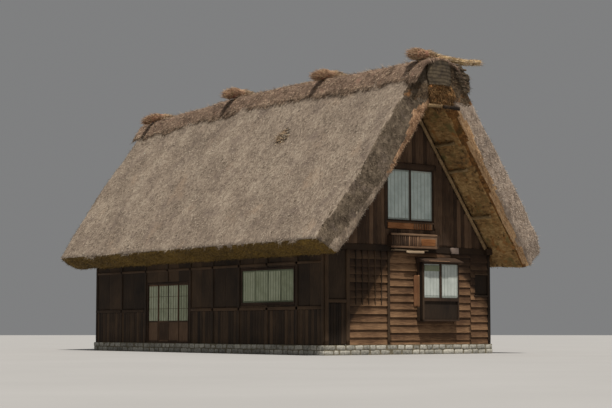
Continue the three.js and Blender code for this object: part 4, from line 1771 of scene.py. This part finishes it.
NO_LINING = -1.0  # inside the underside, so that no face lies there
LEFT_VERGE = Verge(
    inner=0.0, outer=0.26, bevel=0.06, foot=0.5, corner=-0.25, hang=0.0, rough=1.0,
    finish=VERGE_THATCH, lining=RUST_THATCH, straw=VERGE_STRAW, lining_straw=HEAD_STRAW,
    heights=(3.1, 3.7, 4.6, 5.4, 6.3, 7.1, 7.3, 7.7, 7.8),
    starts=(NO_LINING,) * 9,
    ends=(0.42, 0.28, 0.24, 0.16, 0.18, 0.34, 0.38, 0.15, NO_LINING),
)
RIGHT_VERGE = Verge(
    inner=0.09, outer=0.0, bevel=0.25, foot=0.0, corner=0.22, hang=0.12, rough=0.8,
    finish=SUNNY_VERGE, lining=REED_THATCH, straw=SUNNY_STRAW, lining_straw=REED_STRAW,
    heights=(3.57, 4.37, 5.0, 5.55, 6.0, 6.5, 7.0, 7.54, 7.7),
    starts=(0.03, 0.075, 0.075, 0.09, 0.1, 0.126, 0.161, 0.24, NO_LINING),
    ends=(0.136, 0.197, 0.223, 0.233, 0.265, 0.302, 0.366, 0.3, NO_LINING),
)


@dataclass
class Net:
    """The vertices of a slope: where they are and face, and how far down and out they lie.

    Down is the distance down the slope and out the distance out from its underside.
    """

    points: np.ndarray
    facing: np.ndarray
    down: np.ndarray
    out: np.ndarray


@dataclass
class Slope:
    """One thatched slope, with its cut verges and its eave.

    A field that ends in over says where a change of form comes in, as its start and
    its length in metres: down_over down the slope, along_over from the middle of the
    ridge, out_over out from the underside and up_over from the ground. Fields that
    end in up are how far a face has to look out of the slope, as a cosine.
    """

    side: Side
    verge: Verge
    voxel: float = 0.07
    overlap: float = 0.05
    bevel_out_over: Span = (0.0, 0.25)
    corner_down_over: Span = (5.9, 0.6)
    verge_along_over: Span = (7.6, 0.7)
    foot_down_over: Span = (3.0, 3.5)
    foot_along_over: Span = (5.43, 2.9)
    sag_up_over: Span = (6.0, 2.1)
    sag_out_over: Span = (0.0, 0.4)
    hang_along_over: Span = (6.4, 1.9)
    hang_out_over: Span = (0.0, 0.6)
    hinge_inner: float = 5.9
    hinge_rise: float = 1.9
    eave_down: float = 6.54
    wave_down_over: Span = (0.6, 1.2)
    calm_down_over: Span = (5.445, 1.0)
    wave_out_over: Span = (0.0, 0.45)
    slope_up: float = 0.6
    under_up: float = -0.72
    verge_up: float = 0.85
    mat_foot: float = 8.6
    mat_shade_from: float = 7.7
    mat_shade_to: float = 8.15
    grey_below: float = 5.4
    torn_at: Point = (-1.846, -2.785, 7.05)
    torn_size: float = 0.3
    straw: float = 0.014

    def build(self) -> None:
        """Builds the slope and lays loose straws on it."""
        piece, name = self.bulk(), self.side.name.lower()
        self.lay_straws(piece, name)
        self.lay_edge_straws(piece, name)
        add_piece(piece, f"{name}_slope", "thatch", f"thatch_{name}")

    def local(self, points: np.ndarray) -> Pair:
        """How far points lie down the slope and out from its underside."""
        x, z = points[:, 0] * self.side.value, points[:, 2] - APEX
        return x * math.cos(SLOPE) - z * math.sin(SLOPE), x * math.sin(SLOPE) + z * math.cos(SLOPE)

    def bulk(self) -> Piece:
        """The slope, moved into the lumps and dips of real thatch.

        Returns:
            The new object.
        """
        piece, points = self.straight()
        net = Net(points, normals(piece), *self.local(points))
        self.set_back(net)
        self.sink(net)
        self.wave(net)
        self.roughen(net)
        move_to(piece, net.points)
        low = (SLOPE_THATCH, self.verge.finish, UNDER_THATCH, EAVE_THATCH, self.verge.lining)
        shade(piece, *low, EDGE_THATCH, TOP_VERGE, HOLLOW_THATCH, GREY_THATCH)
        self.zones(piece)
        return piece

    def straight(self) -> tuple[Piece, np.ndarray]:
        """The straight slope as an even net, whose faces lie along it.

        Returns:
            The new object and its vertices.
        """
        turn = self.side.value
        foot = [(-self.overlap, APEX), (0.0, APEX), EAVE_INNER[self.side], EAVE_OUTER]
        section = [*foot, *RIDGE_ROUND, (-self.overlap, RIDGE_TOP)]
        flat_down, flat_out = self.local(np.array([(x * turn, 0.0, z) for x, z in section]))
        outline = [(turn * down, out) for down, out in zip(flat_down, flat_out)]
        piece = remesh(prism(outline, -HALF_ROOF, HALF_ROOF), self.voxel, 3)
        laid = coordinates(piece)
        points = laid.copy()
        points[:, 0] = laid[:, 0] * math.cos(SLOPE) + turn * laid[:, 2] * math.sin(SLOPE)
        points[:, 2] = APEX - turn * laid[:, 0] * math.sin(SLOPE) + laid[:, 2] * math.cos(SLOPE)
        move_to(piece, points)
        return piece, points

    def set_back(self, net: Net) -> None:
        """Leans the cut ends back, bevels them and lets their feet stand back.

        Args:
            net: The vertices, which are moved.
        """
        along, verge = np.abs(net.points[:, 1]), self.verge
        share = ramp(net.out, 0.0, THATCH)
        back = verge.inner * (1 - share) + verge.outer * share
        back += verge.bevel * (1 - ramp(net.out, *self.bevel_out_over))
        back += verge.corner * ramp(net.down, *self.corner_down_over) * share
        back *= ramp(along, *self.verge_along_over)
        foot = ramp(net.down, *self.foot_down_over) ** 2 * ramp(along, *self.foot_along_over)
        net.points[:, 1] -= np.sign(net.points[:, 1]) * (back + verge.foot * foot)

    def sink(self, net: Net) -> None:
        """Bows the ridge and lets the corners of the eave hang.

        Args:
            net: The vertices, which are moved.
        """
        points = net.points
        high = ramp(points[:, 2], *self.sag_up_over) * ramp(net.out, *self.sag_out_over)
        points[:, 2] += sag(points[:, 1]) * high
        hinge = self.hinge_inner - self.hinge_rise * ramp(net.out, *self.hang_out_over)
        corner = ramp(np.abs(points[:, 1]), *self.hang_along_over) ** 2
        points[:, 2] -= self.verge.hang * corner * ramp(net.down, hinge, self.eave_down - hinge)

    def wave(self, net: Net) -> None:
        """Gives the outer face broad waves, which fade towards its edges.

        Args:
            net: The vertices, which are moved.
        """
        along, down, turn = net.points[:, 1], net.down, self.side.value
        share = ramp(down, *self.wave_down_over) * (1 - ramp(down, *self.calm_down_over))
        share *= ramp(net.out, *self.wave_out_over)
        wave = 0.022 * np.sin(1.35 * along + 0.9 * down + 1.7 * turn)
        wave += 0.014 * np.sin(0.8 * along - 1.6 * down + turn)
        net.points += np.outer(share * wave, outward(self.side))

    def roughen(self, net: Net) -> None:
        """Breaks up the surface: flowing dips on the outer face, layers on the cut ends.

        Args:
            net: The vertices, which are moved.
        """
        points, down, out = net.points, net.down, net.out
        flow = np.column_stack([points[:, 1] / 0.16, down / 0.7, out])
        layers = np.column_stack([points[:, 1], down / 0.6, out / 0.09])
        worn = 0.008 * noise(flow, 3) + lumps(points, 0.2, 0.006, 6)
        cut = (lumps(points, 0.24, 0.025, 4) + 0.014 * noise(layers, 5)) * self.verge.rough
        rough = np.where(net.facing @ outward(self.side) > 0.5, worn, cut)
        points += net.facing * (lumps(points, 0.42, 0.015, 2) + rough)[:, None]

    def zones(self, piece: Piece) -> None:
        """Gives each part of the slope its own finish.

        Args:
            piece: The slope.
        """
        count = len(piece.data.polygons)
        facing, centre = np.empty(count * 3, np.float32), np.empty(count * 3, np.float32)
        piece.data.polygons.foreach_get("normal", facing)
        piece.data.polygons.foreach_get("center", centre)
        facing, centre = facing.reshape(-1, 3), centre.reshape(-1, 3).astype(float)
        up = facing @ outward(self.side)
        _, plain = self.local(centre)
        wander = noise(centre / 0.22, 9)
        out = plain + 0.02 * wander + lumps(centre, 0.09, 0.02, 10)
        top = centre[:, 2] + 0.14 * wander
        zone = np.full(count, int(Zone.EAVE))
        zone[up > self.slope_up] = Zone.SLOPE
        zone[up < self.under_up] = Zone.UNDER
        torn = np.linalg.norm(centre - np.array(self.torn_at), axis=1) + 0.12 * wander < self.torn_size
        zone[torn & (up > self.slope_up)] = Zone.TORN
        cut = self.on_verge(facing)
        low, high = self.verge.lined(centre[:, 2])
        left = self.side is Side.LEFT
        zone[cut] = Zone.VERGE
        # Under the mat the cut face gets the dark top finish: painted shade of the mat.
        zone[cut & (top > self.mat_shade_from) & ((top < self.mat_shade_to) | (not left))] = Zone.TOP
        zone[cut & (out < high)] = Zone.LINING
        zone[cut & (out < high) & left & (top < self.grey_below)] = Zone.GREY
        # The band inside the right verge gets the dark edge finish: painted shade under the bevel.
        zone[cut & (plain < low)] = Zone.EDGE
        piece.data.polygons.foreach_set("material_index", zone.astype(np.int32))

    def on_verge(self, facing: np.ndarray) -> np.ndarray:
        """Whether faces with these normals belong to a cut end."""
        return (np.abs(facing[:, 1]) > 0.5) & (np.abs(facing @ outward(self.side)) < self.verge_up)

    def lay_straws(self, piece: Piece, name: str) -> None:
        """Lays straws on the slope and the eave, and loose ones in the torn patch.

        Args:
            piece: The slope.
            name: What the pieces are called.
        """
        turn, up, down = self.side.value, outward(self.side), downward(self.side)
        chance = np.random.default_rng(60 + turn)

        def on_slope(centre: np.ndarray, facing: np.ndarray) -> np.ndarray:
            """Picks the faces of the outer side below the ridge mat."""
            return (facing @ up > self.slope_up) & (centre[:, 2] < self.mat_foot)

        def on_eave(centre: np.ndarray, facing: np.ndarray) -> np.ndarray:
            """Picks the faces of the cut eave."""
            return (np.abs(facing[:, 1]) < 0.5) & (facing @ down > 0.5)

        def in_tear(centre: np.ndarray, facing: np.ndarray) -> np.ndarray:
            """Picks the faces of the torn patch."""
            away = np.linalg.norm(centre - np.array(self.torn_at), axis=1)
            return (away < self.torn_size + 0.04) & (facing @ up > self.slope_up)

        count = fewer(26000)
        spots, _ = spots_on(piece, count, 61 + turn, on_slope)
        along = unit(down + chance.normal(0, 0.4, (count, 3)) + up * chance.uniform(0.0, 0.2, (count, 1)))
        length = chance.uniform(0.06, 0.2, count)
        made = straws(spots - up * 0.008, along, length, self.straw, SLOPE_STRAW, 62 + turn)
        add_piece(made, f"{name}_slope_straws", "thatch")
        count = fewer(5000)
        spots, _ = spots_on(piece, count, 67 + turn, on_eave)
        along = unit(down * 1.2 + chance.normal(0, 0.3, (count, 3)))
        length = chance.uniform(0.04, 0.12, count)
        made = straws(spots - down * 0.02, along, length, 0.013, EAVE_STRAW, 68 + turn)
        add_piece(made, f"{name}_eave_straws", "thatch")
        if self.side is Side.LEFT:
            count = 90
            spots, _ = spots_on(piece, count, 69, in_tear)
            along = unit(down + chance.normal(0, 0.7, (count, 3)) + up * 0.5)
            length = chance.uniform(0.1, 0.32, count)
            made = straws(spots - up * 0.01, along, length, 0.018, BUNDLE_STRAW, 70)
            add_piece(made, "torn_patch_straws", "thatch")

    def lay_edge_straws(self, piece: Piece, name: str) -> None:
        """Lays short cut straws on the verges.

        Args:
            piece: The slope.
            name: What the pieces are called.
        """
        turn, down, verge = self.side.value, downward(self.side), self.verge
        chance = np.random.default_rng(63 + turn)
        left = self.side is Side.LEFT

        def kind_of(centre: np.ndarray, facing: np.ndarray) -> np.ndarray:
            """Which kind of straw each face carries, and 0 where it carries none.

            Args:
                centre: The centres of the faces.
                facing: Their normals.

            Returns:
                1 on the cut face, 2 in the lining, 3 by the ridge and 4 in the grey lining.
            """
            _, out = self.local(centre)
            low, high = verge.lined(centre[:, 2])
            plain = np.where(centre[:, 2] > self.mat_shade_from, 3, 1)
            lined = np.where(left & (centre[:, 2] < self.grey_below), 4, 2)
            lined = np.where(out > low, lined, 0)
            return np.where(self.on_verge(facing), np.where(out < high, lined, plain), 0)

        kinds = [("verge", verge.straw, 5000), ("lining", verge.lining_straw, 1800)]
        kinds.append(("top", FLAP_STRAW, 1500))
        if left:
            kinds.append(("grey_lining", SLOPE_STRAW, 900))
        for number, (kind, finish, total) in enumerate(kinds, 1):
            count = fewer(total)
            spots, facing = spots_on(piece, count, 64 + turn, lambda c, n: kind_of(c, n) == number)
            along = unit(facing + chance.normal(0, 0.4, (count, 3)) + down * 0.5)
            length = chance.uniform(0.03, 0.12, count)
            made = straws(spots - facing * 0.01, along, length, self.straw, finish, 65 + turn)
            add_piece(made, f"{name}_{kind}_straws", "thatch")


@dataclass(frozen=True)
class Bundle:
    """A bundle of straw across the ridge, with a thick head on the left.

    Place is where it lies along the ridge. Form is its shape from left to right,
    each point as x, the height of its middle and its radius. The head ends at the
    fourth point.
    """

    place: float
    form: tuple[Point, ...]


BUNDLES = (
    Bundle(-7.93, (
        (-0.87, 9.099, 0.08), (-0.7, 9.119, 0.17), (-0.45, 9.129, 0.185), (-0.2, 9.139, 0.15),
        (0.05, 9.149, 0.095), (0.6, 9.109, 0.085), (1.3, 9.069, 0.1), (1.98, 9.129, 0.095),
    )),
    Bundle(-3.23, (
        (-0.97, 9.019, 0.09), (-0.75, 9.079, 0.16), (-0.45, 9.164, 0.16), (-0.15, 9.179, 0.12),
        (0.1, 9.179, 0.1), (0.5, 9.119, 0.09), (1.0, 8.999, 0.07),
    )),
    Bundle(1.98, (
        (-0.97, 9.064, 0.1), (-0.75, 9.124, 0.185), (-0.45, 9.194, 0.18), (-0.15, 9.194, 0.13),
        (0.1, 9.184, 0.1), (0.5, 9.114, 0.09), (1.0, 9.004, 0.07),
    )),
    Bundle(7.45, (
        (-1.01, 8.708, 0.09), (-0.8, 8.798, 0.15), (-0.5, 8.918, 0.15), (-0.15, 8.978, 0.115),
        (0.1, 8.978, 0.095), (0.5, 8.908, 0.085), (0.95, 8.778, 0.065),
    )),
)


@dataclass
class Ridge:
    """The ridge: a dark straw mat, a roll on its crown and bundles across it.

    Sections are x and z of their corners. The straw fields are widths, and sunk is
    how deep straws start below the surface.
    """

    end: float = 8.39
    foot: float = 1.0
    thick: float = 0.08
    lining: float = 0.07
    voxel: float = 0.055
    roll_radius: float = 0.082
    straw: float = 0.014
    fringe_straw: float = 0.015
    thin_straw: float = 0.012
    sunk: float = 0.006
    flap_section: Section = (
        (0.5, 8.86), (0.84, 8.86), (0.98, 8.68), (1.16, 8.56), (1.2, 8.3), (1.16, 8.08), (0.94, 8.02),
        (0.6, 8.5),
    )
    cover_section: Section = (
        (-0.44, 8.16), (0.4, 8.16), (0.46, 8.5), (0.42, 8.78), (0.25, 8.92), (-0.25, 8.92),
        (-0.46, 8.78), (-0.5, 8.5),
    )
    plug_section: Section = (
        (-0.4, 7.56), (0.1, 7.48), (0.42, 7.58), (0.58, 7.92), (0.36, 8.3), (-0.34, 8.3), (-0.52, 8.0),
    )

    def build(self) -> None:
        """Builds the mat, the roll, the bundles and what closes both ends."""
        piece = self.mat()
        self.mat_straws(piece)
        add_piece(piece, "ridge_mat", "old_thatch", "ridge_cap")
        self.roll()
        for number, bundle in enumerate(BUNDLES, 1):
            self.bundle(number, bundle)
        for end in End:
            self.flap(end.value, end.name.lower())
        for end in End:
            self.end_cover(end.value, end.name.lower())
            self.plug(end.value, end.name.lower())
            self.apex_bars(end.value, end.name.lower())

    def mat(self) -> Piece:
        """The mat over both slopes, lumpy and with a ragged foot.

        Returns:
            The new object.
        """
        under = [(self.foot, OUTER_APEX - FALL * self.foot), *RIDGE_ROUND]
        crown = (0.0, RIDGE_TOP + self.thick)
        half_out = [(self.foot + 0.02, 8.245), (0.69, 8.815), (0.53, 8.93), (0.26, 8.975), crown]
        half_in = [(x, z - self.lining) for x, z in under]
        outer = half_out + [(-x, z) for x, z in half_out[-2::-1]]
        inner = half_in + [(-x, z) for x, z in half_in[-2::-1]]
        piece = remesh(prism(outer + inner[::-1], -self.end, self.end), self.voxel, 1)
        points, facing = coordinates(piece), normals(piece)
        bumps = lumps(points, 0.5, 0.018, 71) + lumps(points, 0.17, 0.014, 72)
        none = np.zeros(len(points))
        line = np.column_stack([points[:, 1] / 0.35, none, none])
        reach = ramp(np.abs(points[:, 0]), 0.75, 0.25) * 0.06 * noise(line, 73)
        points[:, 0] += np.sign(points[:, 0]) * reach
        points[:, 2] -= FALL * reach
        points += facing * (bumps * (facing[:, 2] > 0))[:, None]
        points[:, 2] += sag(points[:, 1])
        move_to(piece, points)
        return shade(piece, CAP_THATCH)

    def mat_straws(self, piece: Piece) -> None:
        """Lays straws on the mat, and a fringe that hangs over its foot.

        Args:
            piece: The mat.
        """
        chance = np.random.default_rng(74)
        count = fewer(14000)
        spots, facing = spots_on(piece, count, 75, lambda c, n: (n[:, 2] > 0.2) & (np.abs(c[:, 0]) > 0.12))
        fall = np.column_stack([np.sign(spots[:, 0]) * 0.75, np.zeros(count), -np.ones(count)])
        fall = unit(fall - facing * (fall * facing).sum(axis=1)[:, None])
        spread = chance.normal(0, 0.4, (count, 3))
        along = unit(fall + spread + facing * chance.uniform(0, 0.14, (count, 1)))
        length = chance.uniform(0.08, 0.26, count)
        made = straws(spots - facing * self.sunk, along, length, self.straw, CAP_STRAW, 76)
        add_piece(made, "ridge_mat_straws", "old_thatch")
        count = fewer(5000)
        spots, _ = spots_on(piece, count, 77, lambda c, n: (n[:, 2] > -0.2) & (np.abs(c[:, 0]) > 0.9))
        spread = chance.normal(0, 0.35, count)
        fall = unit(np.column_stack([np.sign(spots[:, 0]) * 0.57, spread, -np.full(count, 0.82)]))
        length = chance.uniform(0.08, 0.3, count)
        made = straws(spots, fall, length, self.fringe_straw, CAP_STRAW, 78, (0.0, 0.6))
        add_piece(made, "ridge_mat_fringe", "old_thatch")

    def roll(self) -> None:
        """The roll of straw on the crown, with its straws and ties."""
        end, z = self.end - 0.03, RIDGE_TOP + self.thick - 0.022
        piece = pole((0, -end, z), (0, end, z), self.roll_radius, 80, crook=0.03)
        points = coordinates(piece)
        points[:, 2] += sag(points[:, 1])
        move_to(piece, points)
        chance = np.random.default_rng(81)
        count = fewer(5000)
        spots, facing = spots_on(piece, count, 82, lambda c, n: n[:, 2] > -0.4)
        aside, way = chance.normal(0, 0.25, count), chance.choice([-1.0, 1.0], count)
        along = unit(np.column_stack([aside, way, chance.normal(0, 0.12, count)]) + facing * 0.1)
        length = chance.uniform(0.1, 0.3, count)
        made = straws(spots - facing * self.sunk, along, length, self.thin_straw, ROLL_STRAW, 83)
        add_piece(made, "ridge_roll_straws", "straw_bundle")
        first, last, pitch = -7.0, 7.4, 1.24
        ties = [
            ring((0, y, z + sag_at(y)), (0, 1, 0), self.roll_radius + 0.005, self.thin_straw)
            for y in np.arange(first, last, pitch)
        ]
        add_piece(shade(join(ties), ROPE), "ridge_roll_ties", "straw_bundle")
        add_piece(shade(piece, ROLL_THATCH), "ridge_roll", "straw_bundle")

    def bundle(self, number: int, bundle: Bundle) -> None:
        """One bundle with its straws and ties, and the poles under it.

        Args:
            number: Which bundle it is.
            bundle: Its place and its shape.
        """
        across, height, radius = (np.array(column) for column in zip(*bundle.form))
        y, left, right, split = bundle.place, float(across[0]), float(across[-1]), float(across[3])
        level, thick = 9.0, 0.1
        piece = pole((left, y, level), (right, y, level), thick, 200 + number, crook=0.01, part=0.09)
        points = coordinates(piece)
        swell = np.interp(points[:, 0], across, radius) / thick
        points[:, 1] = y + (points[:, 1] - y) * swell
        points[:, 2] = np.interp(points[:, 0], across, height) + (points[:, 2] - level) * swell
        move_to(piece, points)
        shade(piece, BUNDLE_THATCH, HEAD_THATCH)
        for face in piece.data.polygons:
            face.material_index = int(face.center.x < split + 0.05)
        chance = np.random.default_rng(210 + number)
        for part, finish, turn in (("head", HEAD_STRAW, -1), ("stalk", BUNDLE_STRAW, 1)):
            count = fewer(1100)
            spots, facing = spots_on(piece, count, 211 + number, lambda c, n: (c[:, 0] - split) * turn > -0.1)
            way = np.where(spots[:, 0] < -0.3, -1.0, 1.0)
            spread = [chance.normal(0, 0.16, count) for _ in range(2)]
            along = unit(np.column_stack([way, *spread]) + facing * 0.1)
            length = chance.uniform(0.1, 0.28, count)
            made = straws(spots - facing * self.sunk, along, length, self.thin_straw, finish, 212 + number)
            add_piece(made, f"bundle_{number}_{part}_straws", "straw_bundle")
        second, fifth = float(across[1]), float(across[4])
        ties = []
        for at in (second - 0.03, split, fifth, fifth + 0.05, right - 0.3):
            middle, size = float(np.interp(at, across, height)), float(np.interp(at, across, radius))
            ties.append(ring((at, y, middle), (1, 0, 0), size * 0.96, 0.016))
        add_piece(shade(join(ties), ROPE), f"bundle_{number}_ties", "straw_bundle")
        add_piece(piece, f"straw_bundle_{number}", "straw_bundle", f"ridge_bundle_{number}")
        low, needle = sag_at(y), 0.033
        needles = [
            pole((-0.84, y + 0.12, 8.6 + low), (1.5, y + 0.08, 8.56 + low), needle, 220 + number),
            pole((-0.66, y - 0.12, 8.86 + low), (1.35, y - 0.06, 8.82 + low), needle, 230 + number),
        ]
        add_piece(shade(join(needles), POLE), f"needle_poles_{number}", "timber")

    def flap(self, sign: int, name: str) -> None:
        """Old layers of the mat that stand out in steps at one end of its right side.

        Args:
            sign: Which end it is, -1 for the front.
            name: What the pieces are called.
        """
        near, far, layer = 7.75, 8.36, 0.13
        piece = remesh(prism(self.flap_section, *sorted((sign * near, sign * far))), 0.035, 3)
        points, facing = coordinates(piece), normals(piece)
        step = (points[:, 2] / layer) % 1.0
        points += facing * (0.04 * (0.5 - step) + lumps(points, 0.15, 0.03, 241))[:, None]
        points[:, 2] += sag_at(sign * 8.2)
        move_to(piece, points)
        # The flaps are dark: painted shade between their steps.
        shade(piece, HOLLOW_THATCH)
        chance = np.random.default_rng(242)
        count = fewer(900)
        spots, facing = spots_on(piece, count, 243, lambda c, n: n[:, 1] * sign > -0.4)
        along = unit(np.array([0.4, sign * 0.3, -1.0]) + chance.normal(0, 0.35, (count, 3)))
        length = chance.uniform(0.06, 0.2, count)
        made = straws(spots - facing * 0.01, along, length, self.straw, FLAP_STRAW, 244)
        add_piece(made, f"{name}_mat_flap_straws", "old_thatch")
        add_piece(piece, f"{name}_mat_flap", "old_thatch")

    def end_cover(self, sign: int, name: str) -> None:
        """Layers of bark and straw that close one end of the ridge.

        Args:
            sign: Which end it is, -1 for the front.
            name: What the piece is called.
        """
        face, thick, foot, layer = 8.43, 0.07, 8.12, 0.115
        y = sign * face
        piece = remesh(prism(self.cover_section, *sorted((y, y - sign * thick))), 0.022, 2)
        points = coordinates(piece)
        step = (points[:, 2] + lumps(points, 0.5, 0.03, 239) - foot) / layer % 1.0
        points[:, 1] += sign * (0.014 * (0.5 - step) - 0.14 * (points[:, 0] / 0.45) ** 2)
        points[:, 2] += sag_at(sign * 8.3)
        points += np.column_stack([lumps(points, 0.2, 0.008, 240 + axis) for axis in range(3)])
        move_to(piece, points)
        add_piece(shade(piece, BARK), f"{name}_ridge_end_cover", "old_thatch")

    def plug(self, sign: int, name: str) -> None:
        """The bunch of straw in the top of a gable opening.

        Args:
            sign: Which end it is, -1 for the front.
            name: What the pieces are called.
        """
        face, thick = 8.36, 0.4
        y = sign * face
        piece = remesh(prism(self.plug_section, *sorted((y, y - sign * thick))), 0.045, 3)
        points, facing = coordinates(piece), normals(piece)
        points += facing * (lumps(points, 0.12, 0.03, 250) + lumps(points, 0.3, 0.04, 249))[:, None]
        move_to(piece, points)
        shade(piece, PLUG_THATCH)
        chance = np.random.default_rng(251)
        count = fewer(2200)
        spots, facing = spots_on(piece, count, 252, lambda c, n: n[:, 1] * sign > 0.2)
        along = unit(np.array([0.0, 0.0, -1.0]) + chance.normal(0, 0.35, (count, 3)) + facing * 0.25)
        length = chance.uniform(0.06, 0.22, count)
        made = straws(spots - facing * 0.01, along, length, self.straw, PLUG_STRAW, 253)
        add_piece(made, f"{name}_plug_straws", "thatch")
        add_piece(piece, f"{name}_plug", "thatch")

    def apex_bars(self, sign: int, name: str) -> None:
        """The bar that crosses below a plug: a pale half, and a near-black half that is painted shade.

        Args:
            sign: Which end it is, -1 for the front.
            name: What the pieces are called.
        """
        pale = pole((0.54 * sign, sign * 8.34, 7.52), (0.0, sign * 8.35, 7.54), 0.058, 260)
        dark = pole((-0.7 * sign, sign * 8.37, 7.5), (-0.02 * sign, sign * 8.4, 7.5), 0.062, 261)
        add_piece(shade(pale, PALE_POLE), f"{name}_apex_bar_pale", "timber")
        add_piece(shade(dark, POLE_IN_PAINTED_SHADE), f"{name}_apex_bar", "timber")


@dataclass
class Studio:
    """A pale floor, a high sun, soft light from the sky and the camera.

    Eye and aim are where the camera stands and looks, lens is in millimetres and sun
    is the direction in which its light falls.
    """

    floor_radius: float = 140.0
    sky_colour: str = "e9eaeb"
    sky_strength: float = 0.26
    sun: Point = (0.65, 1.475, -3.85)
    sun_colour: str = "fff8ee"
    sun_strength: float = 4.3
    sun_angle: float = math.radians(3)
    eye: Point = (-30.42, -41.85, 0.78)
    aim: Point = (0.0, -1.5, 5.0)
    lens: float = 88.0
    film_width: float = 36.0
    sight: float = 500.0

    def build(self) -> None:
        """Adds the floor, the lights and the camera."""
        deselect()
        self.floor()
        self.light()
        self.camera()

    def floor(self) -> None:
        """The floor that the house stands on."""
        bpy.ops.mesh.primitive_circle_add(
            vertices=96, radius=self.floor_radius, fill_type="NGON", location=(0, 0, 0)
        )
        floor = bpy.context.object
        floor.name = "floor"
        floor.data.materials.append(FLOOR.build())

    def light(self) -> None:
        """The sky and the sun, with the colours left as they are."""
        bpy.context.scene.view_settings.view_transform = "Standard"
        world = bpy.data.worlds.new("sky")
        bpy.context.scene.world = world
        world.use_nodes = True
        sky = world.node_tree.nodes["Background"]
        sky.inputs["Color"].default_value = colour(self.sky_colour)
        sky.inputs["Strength"].default_value = self.sky_strength
        bpy.ops.object.light_add(type="SUN", location=(0, 0, 20))
        lamp = bpy.context.object
        lamp.rotation_euler = Vector(self.sun).to_track_quat("-Z", "Y").to_euler()
        lamp.data.energy = self.sun_strength
        lamp.data.angle = self.sun_angle
        lamp.data.color = colour(self.sun_colour)[:3]

    def camera(self) -> None:
        """The camera, where the photo was taken from but with a longer lens."""
        bpy.ops.object.camera_add(location=self.eye)
        camera = bpy.context.object
        camera.rotation_euler = (Vector(self.aim) - Vector(self.eye)).to_track_quat("-Z", "Y").to_euler()
        camera.data.lens = self.lens
        camera.data.sensor_width = self.film_width
        camera.data.clip_end = self.sight
        bpy.context.scene.camera = camera


def main() -> None:
    """Builds the studio and the house, part by part."""
    logging.basicConfig(level=logging.INFO, format="%(message)s")
    walls = (StoneBase(), Boarding(), Windows(), FrontJoinery())
    slopes = (Slope(Side.LEFT, LEFT_VERGE), Slope(Side.RIGHT, RIGHT_VERGE))
    for part in (Studio(), *walls, RoofTimbers(), *slopes, Ridge()):
        log.info("%s", type(part).__name__)
        part.build()
    deselect()


if __name__ == "__main__":
    main()
